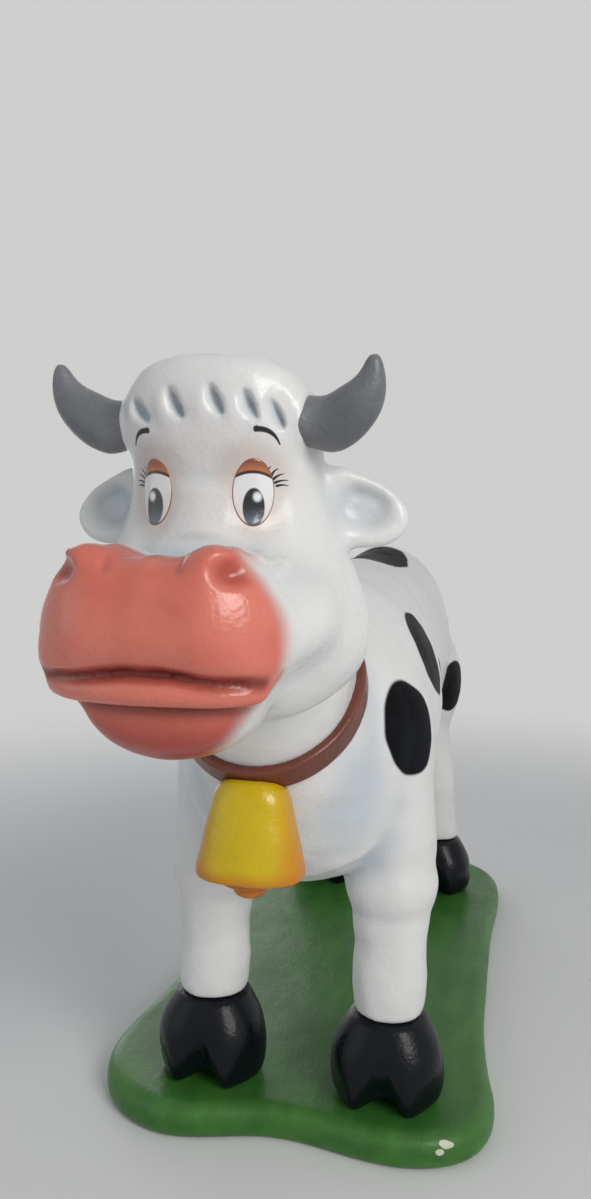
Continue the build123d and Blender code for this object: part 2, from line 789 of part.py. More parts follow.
with BuildPart() as bell_clapper:
    with BuildSketch(level_plane(0, bell_y, bell_z)):
        Circle(clapper_diameter / 2)
    extrude(amount=-clapper_step)
    fillet(bell_clapper.faces().sort_by(Axis.Z)[0].edges(), clapper_round)
    with BuildSketch(level_plane(0, bell_y, bell_z - clapper_step)):
        Circle(clapper_knob_diameter / 2)
    extrude(amount=clapper_step - clapper_length)
    fillet(bell_clapper.faces().sort_by(Axis.Z)[0].edges(), clapper_knob_round)
save(bell_clapper, "bell_clapper")

# Tail: a round cord carved in one piece. Shares: place along the path, diameter.
tail_thickness_shares = [(0.00, 1.15), (0.12, 1.05), (0.30, 0.95), (0.50, 0.86), (0.75, 0.78), (1.00, 0.72)]
tail_sections = []
for along, thickness in tail_thickness_shares:
    radius = thickness * tail_diameter / 2
    tail_sections.append(oval(path_plane(tail_path, along, (1, 0, 0)), radius, radius))
with BuildPart() as tail:
    loft(tail_sections)
    add(body.part, mode=Mode.SUBTRACT)
    drill_for_dowel(tail_root, tail_dowel_diameter, tail_dowel_length)
save(tail, "tail")

# Tuft: the brush at the tail's end. Shares: place down the tuft, half width.
tuft_shares = [
    (0.00, 0.36), (0.14, 0.56), (0.40, 0.96), (0.62, 0.94), (0.84, 0.56), (0.95, 0.28), (1.00, 0.10),
]
tail_end = tail_path @ 1
tuft_sections = []
for down, half_width in tuft_shares:
    plane = level_plane(0, tail_end.Y, tail_end.Z - down * tuft_length)
    tuft_sections.append(oval(plane, half_width * tuft_width / 2, half_width * tuft_width / 2))
with BuildPart() as tail_tuft:
    loft(tuft_sections)
    add(tail.part, mode=Mode.SUBTRACT)
save(tail_tuft, "tail_tuft")

# Udder: a shallow bag under the belly with four teats
with BuildPart() as udder:
    loft(egg_sections(0, udder_y, udder_z, (udder_width, udder_length, udder_depth)))
    for side_x in sides.values():
        for side_y in sides.values():
            teat_x = side_x * teat_spacing / 2
            teat_y = udder_y + side_y * teat_spacing / 2
            with BuildSketch(level_plane(teat_x, teat_y, udder_z)):
                Circle(teat_diameter / 2)
            extrude(amount=-udder_depth / 2 - teat_length / 2)
    teat_tips = udder.edges().filter_by(GeomType.CIRCLE).group_by(Axis.Z)[0]
    fillet(teat_tips, teat_round)
    add(body.part, mode=Mode.SUBTRACT)
save(udder, "udder")
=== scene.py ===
# %% [markdown]
# # A painted display cow
#
# The real cow is carved from foam blocks, covered with a hard coat and painted by hand: white with black
# patches, a pink muzzle, grey horns, a brown collar and a yellow bell, on a green slab. The measured model
# is the fixed frame. Every piece below is made around it, in metres, in the same place. The carving helpers
# take their lengths in millimetres, as a carver would give them.

# %% Load the measured cow
from math import cos, pi, radians, sin, sqrt

import bmesh
import bpy
import numpy as np
from mathutils import Matrix, Vector
from mathutils.bvhtree import BVHTree


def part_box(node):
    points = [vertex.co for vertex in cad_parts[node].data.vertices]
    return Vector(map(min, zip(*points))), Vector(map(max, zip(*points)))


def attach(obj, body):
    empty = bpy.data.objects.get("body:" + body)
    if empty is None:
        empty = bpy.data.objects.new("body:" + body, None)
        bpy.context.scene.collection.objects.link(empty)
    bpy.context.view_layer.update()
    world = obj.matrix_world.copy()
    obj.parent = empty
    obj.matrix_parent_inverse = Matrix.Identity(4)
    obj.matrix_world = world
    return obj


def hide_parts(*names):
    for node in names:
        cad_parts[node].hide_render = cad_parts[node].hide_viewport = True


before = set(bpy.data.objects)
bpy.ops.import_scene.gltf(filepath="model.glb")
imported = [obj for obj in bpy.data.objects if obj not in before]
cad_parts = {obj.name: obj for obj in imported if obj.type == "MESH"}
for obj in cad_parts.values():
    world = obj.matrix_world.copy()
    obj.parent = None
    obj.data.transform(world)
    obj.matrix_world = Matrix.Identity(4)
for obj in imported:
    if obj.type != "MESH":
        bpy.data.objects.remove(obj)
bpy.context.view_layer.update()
mm = 0.001
sides = {"left": 1, "right": -1}
print("measured nodes:", len(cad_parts))

# %% [markdown]
# ## Node helpers
#
# Every finish is a small tree of shader nodes. Writing them one socket at a time is long, so a few helpers
# do it: `plug` takes a socket or a plain value, and `math`, `blend`, `tint` and `ease` add nodes and return
# their output. `bench` holds the tree that is being wired, so that a material reads like a recipe.


# %% Node helpers
bench = None


def plug(socket, value):
    """Links an output into a socket, or sets the socket to a plain value."""
    if isinstance(value, bpy.types.NodeSocket):
        bench.links.new(value, socket)
    else:
        socket.default_value = value


def math(operation, first, second=0.0, third=0.0):
    """One Math node."""
    node = bench.nodes.new("ShaderNodeMath")
    node.operation = operation
    for socket, value in zip(node.inputs, (first, second, third)):
        plug(socket, value)
    return node.outputs[0]


def vector_math(operation, first, second=(0, 0, 0), output=0, scale=None):
    """One Vector Math node. Output 1 is the value of a dot product or a length."""
    node = bench.nodes.new("ShaderNodeVectorMath")
    node.operation = operation
    plug(node.inputs[0], first)
    plug(node.inputs[1], second)
    if scale is not None:
        plug(node.inputs["Scale"], scale)
    return node.outputs[output]


def length(vector):
    """How long a vector is."""
    return vector_math("LENGTH", vector, output=1)


def blend(mask, first, second):
    """Mixes two colours by a mask: the first where it is 0, the second where it is 1."""
    node = bench.nodes.new("ShaderNodeMix")
    node.data_type = "RGBA"
    plug(node.inputs[0], mask)
    plug(node.inputs[6], first)
    plug(node.inputs[7], second)
    return node.outputs[2]


def tint(colour, mask, strength, second):
    """Brushes a second colour over the first where a mask is, at a share of its full strength."""
    return blend(math("MULTIPLY", mask, strength), colour, second)


def ease(value, low, high, start=0.0, end=1.0):
    """A soft step: start below low, end above high, and a smooth curve between."""
    node = bench.nodes.new("ShaderNodeMapRange")
    node.interpolation_type = "SMOOTHSTEP"
    for socket, given in zip(node.inputs, (value, low, high, start, end)):
        plug(socket, given)
    return node.outputs[0]


def grain(where, scale, detail=2.0, roughness=0.5):
    """One Noise Texture, about 0 to 1."""
    node = bench.nodes.new("ShaderNodeTexNoise")
    plug(node.inputs["Vector"], where)
    plug(node.inputs["Scale"], scale)
    plug(node.inputs["Detail"], detail)
    plug(node.inputs["Roughness"], roughness)
    return node.outputs[0]


def row_place():
    """The point's place in the shared frame, which is object space: every piece sits at the origin."""
    return bench.nodes.new("ShaderNodeTexCoord").outputs["Object"]


def split(vector):
    """The three parts of a vector."""
    node = bench.nodes.new("ShaderNodeSeparateXYZ")
    plug(node.inputs[0], vector)
    return node.outputs


print("node helpers ready")


# %% Paint and group helpers
def paint(red, green, blue):
    """A paint colour as a screen shows it, 0 to 255, made linear for the shader."""
    linear = []
    for part in (red, green, blue):
        share = part / 255
        linear.append(share / 12.92 if share <= 0.04045 else ((share + 0.055) / 1.055) ** 2.4)
    return (*linear, 1.0)


def new_group(name, inputs, outputs):
    """A shader node group with named sockets, and its two end nodes."""
    global bench
    bench = group = bpy.data.node_groups.new(name, "ShaderNodeTree")
    for label, kind, value in inputs:
        socket = group.interface.new_socket(label, in_out="INPUT", socket_type="NodeSocket" + kind)
        socket.default_value = value
    for label, kind in outputs:
        group.interface.new_socket(label, in_out="OUTPUT", socket_type="NodeSocket" + kind)
    return group, group.nodes.new("NodeGroupInput").outputs, group.nodes.new("NodeGroupOutput").inputs


def use_group(group, **values):
    """Places a group in a material with its own values, and returns its outputs."""
    node = bench.nodes.new("ShaderNodeGroup")
    node.node_tree = group
    for label, value in values.items():
        plug(node.inputs[label.replace("_", " ")], value)
    return node.outputs


print("paint and group helpers ready")

# %% [markdown]
# ## Four effects that many finishes share
#
# ** Hand coat** is the skin of thick brushed paint: a fine orange peel, slow lumps where the coat was
# trowelled, and gloss that comes and goes. **Painted patch** is one brushed spot: an oval in space whose
# edge wobbles. **Painted stroke** is one lick of a thin brush, for a brow or a lash, drawn on the front of
# the face. **Edges and hollows** gives two masks, read from how sharp the surface is there: hollows, which
# finishes darken as painted shade, and edges, which they pale as patchy wear mixed with painted highlight.

# %% Hand coat group
peel_scale = 330.0
lump_scale = 55.0
cloud_scale = 14.0
lump_over_peel = 2.5
hand_coat, given, out = new_group(
    "hand_coat",
    [("Peel", "Float", 1.0), ("Lumps", "Float", 1.0), ("Gloss", "Float", 0.4)],
    [("Height", "Float"), ("Roughness", "Float"), ("Mottle", "Float")],
)
where = row_place()
peel = math("MULTIPLY", grain(where, peel_scale, 2.0, 0.45), given["Peel"])
lump = math("MULTIPLY", grain(where, lump_scale, 3.0), given["Lumps"])
cloud = grain(where, cloud_scale, 4.0, 0.6)
plug(out["Height"], math("MULTIPLY_ADD", lump, lump_over_peel, peel))
gloss_drift = ease(cloud, 0.3, 0.7, -0.07, 0.09)
plug(out["Roughness"], math("ADD", given["Gloss"], gloss_drift))
plug(out["Mottle"], ease(cloud, 0.32, 0.68))
print("group", hand_coat.name)

# %% Painted patch group
painted_patch, given, out = new_group(
    "painted_patch",
    [
        ("Centre", "Vector", (0, 0, 0)), ("Radii", "Vector", (1, 1, 1)), ("Tilt", "Float", 0.0),
        ("Softness", "Float", 0.04), ("Wobble", "Float", 0.3), ("Wobble scale", "Float", 22.0),
    ],
    [("Mask", "Float")],
)
where = row_place()
tilted = bench.nodes.new("ShaderNodeVectorRotate")
tilted.rotation_type = "X_AXIS"
plug(tilted.inputs["Vector"], vector_math("SUBTRACT", where, given["Centre"]))
plug(tilted.inputs["Angle"], given["Tilt"])
reach = length(vector_math("DIVIDE", tilted.outputs[0], given["Radii"]))
waver = math("SUBTRACT", grain(where, given["Wobble scale"], 1.0), 0.5)
edge = math("MULTIPLY_ADD", waver, given["Wobble"], reach)
inner = math("SUBTRACT", 1.0, given["Softness"])
outer = math("ADD", 1.0, given["Softness"])
plug(out["Mask"], ease(edge, inner, outer, 1.0, 0.0))


def brushed_spot(centre, radii, **brush):
    """The mask of one spot, from its centre in metres and its radii in millimetres."""
    return use_group(painted_patch, Centre=centre, Radii=Vector(radii) * mm, **brush)["Mask"]


print("group", painted_patch.name)

# %% Painted stroke group
face_on = (1, 0, 1)
hard_share = 0.75
soft_share = 1.25
painted_stroke, given, out = new_group(
    "painted_stroke",
    [
        ("Start", "Vector", (0, 0, 0)), ("Finish", "Vector", (1, 0, 0)), ("Bend", "Float", 0.0),
        ("Start width", "Float", 0.002), ("Finish width", "Float", 0.0005), ("Back limit", "Float", 0.0),
    ],
    [("Mask", "Float")],
)
where = row_place()
from_start = vector_math("MULTIPLY", vector_math("SUBTRACT", where, given["Start"]), face_on)
run = vector_math("MULTIPLY", vector_math("SUBTRACT", given["Finish"], given["Start"]), face_on)
run_length = length(run)
run_way = vector_math("NORMALIZE", run)
along = math("DIVIDE", vector_math("DOT_PRODUCT", from_start, run_way, output=1), run_length)
along = math("MINIMUM", math("MAXIMUM", along, 0.0), 1.0)
side_way = vector_math("CROSS_PRODUCT", run_way, (0, 1, 0))
hump = math("MULTIPLY", math("MULTIPLY", along, math("SUBTRACT", 1.0, along)), 4.0)
straight = vector_math("SCALE", run_way, scale=math("MULTIPLY", along, run_length))
bowed = vector_math("SCALE", side_way, scale=math("MULTIPLY", hump, given["Bend"]))
middle = vector_math("ADD", straight, bowed)
off_line = length(vector_math("SUBTRACT", from_start, middle))
thinning = math("SUBTRACT", given["Finish width"], given["Start width"])
half = math("MULTIPLY", math("MULTIPLY_ADD", along, thinning, given["Start width"]), 0.5)
hard_edge = math("MULTIPLY", half, hard_share)
soft_edge = math("MULTIPLY", half, soft_share)
ahead = math("LESS_THAN", split(where)[1], given["Back limit"])
plug(out["Mask"], math("MULTIPLY", ease(off_line, hard_edge, soft_edge, 1.0, 0.0), ahead))
print("group", painted_stroke.name)

# %% Edges and hollows group
flat_surface = 0.5
even_edge_share = 0.25
edges_and_hollows, given, out = new_group(
    "edges_and_hollows",
    [("Spread", "Float", 0.04), ("Patchiness", "Float", 0.5)],
    [("Edges", "Float"), ("Hollows", "Float")],
)
sharpness = bench.nodes.new("ShaderNodeNewGeometry").outputs["Pointiness"]
patchy = math("MULTIPLY", grain(row_place(), 60.0, 4.0, 0.65), given["Patchiness"])
# Edges: paler rims, patchy wear mixed with painted highlight. Hollows: painted shade where the surface sinks.
raised = ease(sharpness, flat_surface, math("ADD", flat_surface, given["Spread"]))
sunk = ease(sharpness, math("SUBTRACT", flat_surface, given["Spread"]), flat_surface, 1.0, 0.0)
plug(out["Edges"], math("MULTIPLY", raised, math("ADD", patchy, even_edge_share)))
plug(out["Hollows"], sunk)
print("group", edges_and_hollows.name)

# %% [markdown]
# ## Clay
#
# A carved and coated figure has no sharp seams, so each piece starts as clay: the measured solids are
# joined, a voxel Remesh gives one even skin over them, and a Smooth modifier rounds the joins. Where the
# coat is thicker than the block, a roll of clay is added before the skin goes on.


# %% Clay helpers
def link_piece(name, mesh):
    """A new object for a finished mesh."""
    mesh.shade_smooth()
    piece = bpy.data.objects.new(name, mesh)
    bpy.context.scene.collection.objects.link(piece)
    return piece


def piece_from(shape, name):
    """A new object from a shape that is finished."""
    mesh = bpy.data.meshes.new(name)
    shape.to_mesh(mesh)
    shape.free()
    return link_piece(name, mesh)


def new_skin(piece, voxel, rounds):
    """Gives a piece one even skin, of voxels in millimetres, and rounds it."""
    skin = piece.modifiers.new("skin", "REMESH")
    skin.mode = "VOXEL"
    skin.voxel_size = voxel * mm
    rounding = piece.modifiers.new("rounding", "SMOOTH")
    rounding.factor = 0.5
    rounding.iterations = rounds
    shaped = piece.evaluated_get(bpy.context.evaluated_depsgraph_get())
    mesh = bpy.data.meshes.new_from_object(shaped)
    piece.modifiers.clear()
    piece.data = mesh
    mesh.shade_smooth()
    mesh.name = piece.name
    print(piece.name, "clay faces:", len(mesh.polygons))
    return piece


def clay(name, nodes, voxel, rounds, added=()):
    """One smooth skin over measured nodes and added lumps of clay."""
    heap = bmesh.new()
    for node in nodes:
        heap.from_mesh(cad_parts[node].data)
    for lump_piece in added:
        heap.from_mesh(lump_piece.data)
        bpy.data.objects.remove(lump_piece)
    return new_skin(piece_from(heap, name), voxel, rounds)


print("clay helpers ready")


# %% Rolls of clay
def smooth_line(corners, steps=10):
    """A curve through a few points (Catmull-Rom), as an array."""
    corners = np.array(corners, float)
    padded = np.vstack([2 * corners[0] - corners[1], corners, 2 * corners[-1] - corners[-2]])
    line = []
    for before, start, end, after in zip(padded, padded[1:], padded[2:], padded[3:]):
        for share in np.linspace(0, 1, steps, endpoint=False):
            line.append(0.5 * (2 * start + (end - before) * share
                               + (2 * before - 5 * start + 4 * end - after) * share ** 2
                               + (3 * start - before - 3 * end + after) * share ** 3))
    return np.vstack([line, corners[-1]])


def roll(name, corners, radii, ring_points=12):
    """A roll of clay along a line, with its own thickness at each corner."""
    line = smooth_line(corners)
    thickness = np.interp(np.linspace(0, 1, len(line)), np.linspace(0, 1, len(radii)), radii)
    shape = bmesh.new()
    rings = []
    for step, place in enumerate(line):
        run = Vector(line[min(step + 1, len(line) - 1)] - line[max(step - 1, 0)]).normalized()
        across = run.orthogonal()
        if rings:
            across = (last_across - run * last_across.dot(run)).normalized()
        last_across = across
        up = run.cross(across)
        ring = []
        for spoke in range(ring_points):
            angle = 2 * pi * spoke / ring_points
            outward = across * cos(angle) + up * sin(angle)
            ring.append(shape.verts.new(Vector(place) + outward * thickness[step]))
        rings.append(ring)
    for lower, upper in zip(rings, rings[1:]):
        for spoke in range(ring_points):
            after = (spoke + 1) % ring_points
            shape.faces.new((lower[spoke], lower[after], upper[after], upper[spoke]))
    shape.faces.new(list(reversed(rings[0])))
    shape.faces.new(rings[-1])
    return piece_from(shape, name)


print("rolls of clay ready")

# %% [markdown]
# ## Strokes of the carver
#
# Sculpt Mode could shape the clay by hand. Here the same strokes are sums on the vertex array, so that they
# repeat exactly: `press` pushes an oval in or out, `score` draws a groove or a ridge along a line, `gouge`
# makes a pointed cut, `relax` smooths like a wet thumb, and `lumps` adds the slow waves of a trowelled
# coat.


# %% Vertex helpers
def rows(layer, name):
    """A layer of vectors on a mesh as the rows of an array."""
    values = np.empty(len(layer) * 3, np.float32)
    layer.foreach_get(name, values)
    return values.reshape(-1, 3).astype(float)


def points_of(piece):
    """The vertex places."""
    return rows(piece.data.vertices, "co")


def normals_of(piece):
    """The vertex normals."""
    return rows(piece.data.vertex_normals, "vector")


def set_points(piece, places):
    """Moves the vertices."""
    piece.data.vertices.foreach_set("co", places.astype(np.float32).ravel())
    piece.data.update()


def soft(share):
    """A smooth step from 0 to 1."""
    share = np.clip(share, 0, 1)
    return share * share * (3 - 2 * share)


def rise(values, start, over):
    """A soft step up that begins at a place and takes a length, both in millimetres."""
    return soft((values - start * mm) / (over * mm))


def fall(values, end, over):
    """A soft step down that ends at a place and takes a length, both in millimetres."""
    return soft((end * mm - values) / (over * mm))


def around(piece, centre, radius):
    """A soft weight that is 1 near a place and 0 beyond a radius in millimetres."""
    return soft(1.3 * (1 - np.linalg.norm(points_of(piece) - np.array(centre), axis=1) / (radius * mm)))


def shift(across, back, up):
    """A step in millimetres as a vector in metres."""
    return Vector((across * mm, back * mm, up * mm))


def neighbours(piece):
    """Every edge both ways, as two rows of vertex numbers, and how many edges meet at each vertex."""
    edges = np.empty(len(piece.data.edges) * 2, np.int32)
    piece.data.edges.foreach_get("vertices", edges)
    first, second = edges.reshape(-1, 2).T
    here = np.concatenate([first, second])
    there = np.concatenate([second, first])
    return here, there, np.maximum(np.bincount(here, minlength=len(piece.data.vertices)), 1)


def nearest_on_line(places, line):
    """How far each place is from a line, and how far along the line that is, as a share."""
    best = np.full(len(places), 1e9)
    along = np.zeros(len(places))
    for step, (start, end) in enumerate(zip(line, line[1:])):
        run = end - start
        share = np.clip((places - start) @ run / max(run @ run, 1e-12), 0, 1)
        gap = np.linalg.norm(places - start - share[:, None] * run, axis=1)
        nearer = gap < best
        best[nearer] = gap[nearer]
        along[nearer] = (step + share[nearer]) / (len(line) - 1)
    return best, along


print("vertex helpers ready")


# %% Carving strokes
def push(piece, weights, depth, way=None):
    """Moves the surface by weights times a depth in millimetres: inward, or along one way."""
    ways = -normals_of(piece) if way is None else np.array(way) / np.linalg.norm(way)
    set_points(piece, points_of(piece) + ways * (weights * (depth * mm))[:, None])


def press(piece, centre, radii, depth, way=None):
    """Pushes an oval in by a depth, or out where the depth is negative. Its radii are in millimetres."""
    reach = np.linalg.norm((points_of(piece) - np.array(centre)) / (np.array(radii) * mm), axis=1)
    push(piece, soft(1 - reach), depth, way)


def score(piece, corners, width, depth, fade=0.25, way=None):
    """A groove along a line, or a ridge where the depth is negative. It fades out at both ends."""
    gap, along = nearest_on_line(points_of(piece), smooth_line(corners))
    ends = soft(np.minimum(along, 1 - along) / fade)
    push(piece, soft(1 - gap / (width * mm)) * ends, depth, way)


def gouge(piece, top, low, width, depth, back_limit):
    """A pointed cut from the front between two places, with one long slope and one steep wall."""
    places = points_of(piece)
    top, low = np.array(top), np.array(low)
    run = (low - top) * face_on
    from_top = (places - top) * face_on
    swing = 2 * (from_top @ run) / (run @ run) - 1
    spread = width * mm * np.sqrt(np.maximum(1 - swing ** 2, 1e-6))
    aside = (from_top @ np.array((-run[2], 0, run[0]))) / np.linalg.norm(run)
    slope = np.where(aside < 0, 1 + aside / spread, 1 - aside / (0.45 * spread))
    cut = soft(slope) * np.maximum(1 - swing ** 2, 0) ** 0.7 * (places[:, 1] < back_limit)
    push(piece, cut, depth, (0, 1, 0))


def lumps(piece, size, height, seed, count=9):
    """Slow waves in many directions, as a trowel leaves them."""
    draw = np.random.default_rng(seed)
    ways = draw.normal(size=(count, 3))
    stretch = draw.uniform(0.6, 1.4, (count, 1))
    ways *= (2 * pi / (size * mm)) / np.linalg.norm(ways, axis=1)[:, None] * stretch
    waves = np.sin(points_of(piece) @ ways.T + draw.uniform(0, 2 * pi, count)).mean(1)
    push(piece, waves, -height)


def relax(piece, weights, rounds):
    """Smooths the surface where the weights are above 0, as a wet thumb does."""
    here, there, count = neighbours(piece)
    moving = weights[here] > 0
    here, there = here[moving], there[moving]
    places = points_of(piece)
    for _ in range(rounds):
        for axis in range(3):
            middle = np.bincount(here, places[there, axis], len(places)) / count
            places[:, axis] += 0.5 * weights * (middle - places[:, axis])
    set_points(piece, places)


print("carving strokes ready")

# %% [markdown]
# ## Masks and finishes
#
# A sprayed shadow or the edge of the pink follows the carving, so it is worked out on the vertices: a mask
# is a number per vertex, kept as an attribute that the shader reads. It could be painted in Vertex Paint,
# but a mask from the shape fits again whenever the shape changes.


# %% Mask helpers
def melt(piece, values, rounds):
    """Averages a value with its neighbours, so that a hard mask fades like sprayed paint."""
    here, there, count = neighbours(piece)
    for _ in range(rounds):
        values = 0.5 * values + 0.5 * np.bincount(here, values[there], len(values)) / count
    return values


def hollows(piece, rounds, depth):
    """How deep the surface lies below its own smoothed copy, as a share of a depth, or above for -depth."""
    places = points_of(piece)
    melted = np.stack([melt(piece, places[:, axis], rounds) for axis in range(3)], 1)
    below = np.einsum("ij,ij->i", melted - places, normals_of(piece))
    return np.clip(below / (depth * mm), 0, 1)


def gap_to(piece, node, limit=0.04):
    """How far each vertex is from a measured node's surface, up to a limit in metres."""
    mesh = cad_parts[node].data
    surface = BVHTree.FromPolygons([v.co for v in mesh.vertices], [p.vertices[:] for p in mesh.polygons])
    low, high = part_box(node)
    places = points_of(piece)
    outside = np.maximum(np.maximum(np.array(low) - places, places - np.array(high)), 0)
    near = np.linalg.norm(outside, axis=1) < limit
    gaps = np.full(len(places), limit)
    gaps[near] = [surface.find_nearest(place)[3] for place in places[near]]
    return gaps


def keep_mask(piece, name, values):
    """Stores a mask on the mesh for the shader."""
    layer = piece.data.attributes.new(name, "FLOAT", "POINT")
    layer.data.foreach_set("value", np.clip(values, 0, 1).astype(np.float32))


def mask(name):
    """Reads a stored mask in a material."""
    node = bench.nodes.new("ShaderNodeAttribute")
    node.attribute_name = name
    return node.outputs["Fac"]


print("mask helpers ready")


# %% Finish helpers
def new_finish(name, roughness=0.4, coat=0.0, coat_roughness=0.15, specular=0.5):
    """A material with its Principled shader, whose even values are set on the shader itself."""
    global bench
    material = bpy.data.materials.new(name)
    material.use_nodes = True
    bench = material.node_tree
    shader = bench.nodes["Principled BSDF"]
    shader.inputs["Roughness"].default_value = roughness
    shader.inputs["Specular IOR Level"].default_value = specular
    shader.inputs["Coat Weight"].default_value = coat
    shader.inputs["Coat Roughness"].default_value = coat_roughness
    return material, shader


def bump_into(shader, height, distance):
    """Turns a height into a bumped normal on the shader. The distance is in millimetres."""
    node = bench.nodes.new("ShaderNodeBump")
    node.inputs["Strength"].default_value = 1.0
    node.inputs["Distance"].default_value = distance * mm
    plug(node.inputs["Height"], height)
    plug(shader.inputs["Normal"], node.outputs[0])


def coat_over(shader, colour, roughness, height, distance=0.4):
    """Feeds a colour, a roughness and a bump into the shader."""
    plug(shader.inputs["Base Color"], colour)
    plug(shader.inputs["Roughness"], roughness)
    bump_into(shader, height, distance)


def dress(piece, material, slot, *nodes):
    """Gives a piece its finish, its body and the measured nodes that it stands for."""
    piece.data.materials.clear()
    piece.data.materials.append(material)
    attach(piece, "root")
    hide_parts(*nodes)
    print("piece", piece.name, "stands for", ", ".join(nodes))


print("finish helpers ready")

# %% [markdown]
# ## Black patches on a white coat
#
# The patches are brushed on by hand, so each is an oval with a wavering, nearly hard edge. They could be
# painted on a texture, but an oval in space needs no unwrapping and looks the same from every side. The
# patches that the camera sees are placed by measure, and those on the hidden side follow the same rhythm in
# another layout. Each row of the table has a centre and radii in millimetres, a tilt in degrees and a
# wobble.

# %% White coat of the body
patch_table = [
    ((108, -379, 404), (60, 36, 44), -10, 0.16),
    ((110, -258, 462), (50, 54, 44), 30, 0.20),
    ((112, 214, 364), (44, 48, 40), 0, 0.25),
    ((2, 92, 566), (50, 128, 40), 0, 0.35),
    ((86, 40, 330), (50, 78, 50), 15, 0.35),
    ((108, -96, 400), (40, 34, 44), -25, 0.35),
    ((-118, -300, 440), (52, 62, 70), 20, 0.30),
    ((-108, -60, 360), (46, 84, 56), -15, 0.35),
    ((-104, 120, 470), (50, 60, 66), 30, 0.35),
    ((-110, 282, 352), (46, 44, 46), 0, 0.30),
    ((-30, -180, 560), (44, 60, 40), 0, 0.40),
    ((40, 345, 430), (44, 40, 56), 0, 0.30),
]
white_paint = paint(226, 226, 225)
warm_white = paint(214, 213, 209)
black_paint = paint(16, 17, 20)
soft_black = paint(26, 28, 33)
shade_blue_grey = paint(172, 188, 202)
hollow_shade_grey = paint(150, 146, 138)
chest_shade_radii = (34, 44, 52)
white_gloss_coat = 0.2
white_specular = 0.4
patch_specular = 0.04
coat_white, shader = new_finish("coat_white", coat_roughness=0.2)
coat_skin = use_group(hand_coat, Peel=1.0, Lumps=1.0, Gloss=0.36)
colour = tint(white_paint, coat_skin["Mottle"], 0.35, warm_white)
# Painted shade: bluish grey in the hollows of the body.
colour = tint(colour, mask("painted_hollow_shade"), 0.7, shade_blue_grey)
# Painted shade: a darker grey where the surface sinks.
colour = tint(colour, use_group(edges_and_hollows, Spread=0.05)["Hollows"], 0.25, hollow_shade_grey)
# Painted shade: a bluish grey spot on each side of the lower chest.
for side in sides.values():
    chest_shade = brushed_spot(Vector((side * 70, -444, 352)) * mm, chest_shade_radii, Softness=0.6, Wobble=0.5)
    colour = tint(colour, chest_shade, 0.5, shade_blue_grey)
patches = 0.0
for centre, radii, tilt, wobble in patch_table:
    spot = brushed_spot(Vector(centre) * mm, radii, Tilt=radians(tilt), Wobble=wobble)
    patches = math("MAXIMUM", spot, patches)
colour = blend(patches, colour, blend(coat_skin["Mottle"], black_paint, soft_black))
dull_patches = math("MULTIPLY_ADD", patches, 0.12, coat_skin["Roughness"])
coat_over(shader, colour, dull_patches, coat_skin["Height"])
plug(shader.inputs["Coat Weight"], math("MULTIPLY_ADD", patches, -white_gloss_coat, white_gloss_coat))
specular = math("MULTIPLY_ADD", patches, patch_specular - white_specular, white_specular)
plug(shader.inputs["Specular IOR Level"], specular)
print("coat_white has", len(patch_table), "patches")

# %% [markdown]
# ## Body and legs
#
# The barrel and the four posts are separate blocks, but the coat runs over their joins, so one clay skin
# covers them. The front knees swell and have a crease below: two bell curves along the leg push the skin
# out and in.

# %% Body and legs
knee_height = 132 * mm
knee_swell = 3.6 * mm
knee_crease = 2.2 * mm
crease_drop = 30 * mm
leg_nodes = [f"{end}_{side}_leg" for end in ("front", "rear") for side in sides]
coat_body = clay("coat_body", ["body", *leg_nodes], voxel=3.6, rounds=26)
for side_name in sides:
    leg_low, leg_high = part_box(f"front_{side_name}_leg")
    hoof_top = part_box(f"front_{side_name}_hoof")[1].z
    leg_points = points_of(coat_body)
    from_leg = np.linalg.norm((leg_points - np.array((leg_low + leg_high) / 2))[:, :2], axis=1)
    above_knee = leg_points[:, 2] - hoof_top - knee_height
    swell = knee_swell * np.exp(-((above_knee / (17 * mm)) ** 2))
    swell -= knee_crease * np.exp(-(((above_knee + crease_drop) / (9 * mm)) ** 2))
    outward = normals_of(coat_body) * (1, 1, 0)
    set_points(coat_body, leg_points + outward * (swell * fall(from_leg, 66, 12))[:, None])
lumps(coat_body, size=70, height=1.6, seed=3)
lumps(coat_body, size=30, height=0.8, seed=4)
# The mask of the body's hollows, for the bluish grey painted shade.
keep_mask(coat_body, "painted_hollow_shade", melt(coat_body, hollows(coat_body, 40, depth=1.2), 30))
dress(coat_body, coat_white, "white_coat", "body", *leg_nodes)

# %% [markdown]
# ## The head
#
# Head, muzzle, jaw and ears are separate blocks under one coat, so they share one skin here. The finer
# voxel keeps the lips and the ear rims. Rolls of clay make the lower lip, the mounds that the horns grow
# from and the full cheeks behind the muzzle.

# %% Head clay
muzzle_low, muzzle_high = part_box("muzzle")
jaw_low, jaw_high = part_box("lower_jaw")
jaw_tall = jaw_high.z - jaw_low.z
eye_low, eye_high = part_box("left_eye")
eye_x, eye_y, eye_z = (eye_low + eye_high) / 2
head_voxel = 1.88
lip_shares = [(0.97, 27), (0.82, 15), (0.6, 7), (0.3, 1.5)]
lip_height_share = 0.785
lip_radius = 9.6 * mm
lip_overhang = 2.5 * mm


def on_lip(across, back):
    """A place on the middle line of the lower lip's roll."""
    lip_y = jaw_low.y + lip_radius - lip_overhang + back * mm
    return Vector((across * jaw_high.x, lip_y, jaw_low.z + lip_height_share * jaw_tall))


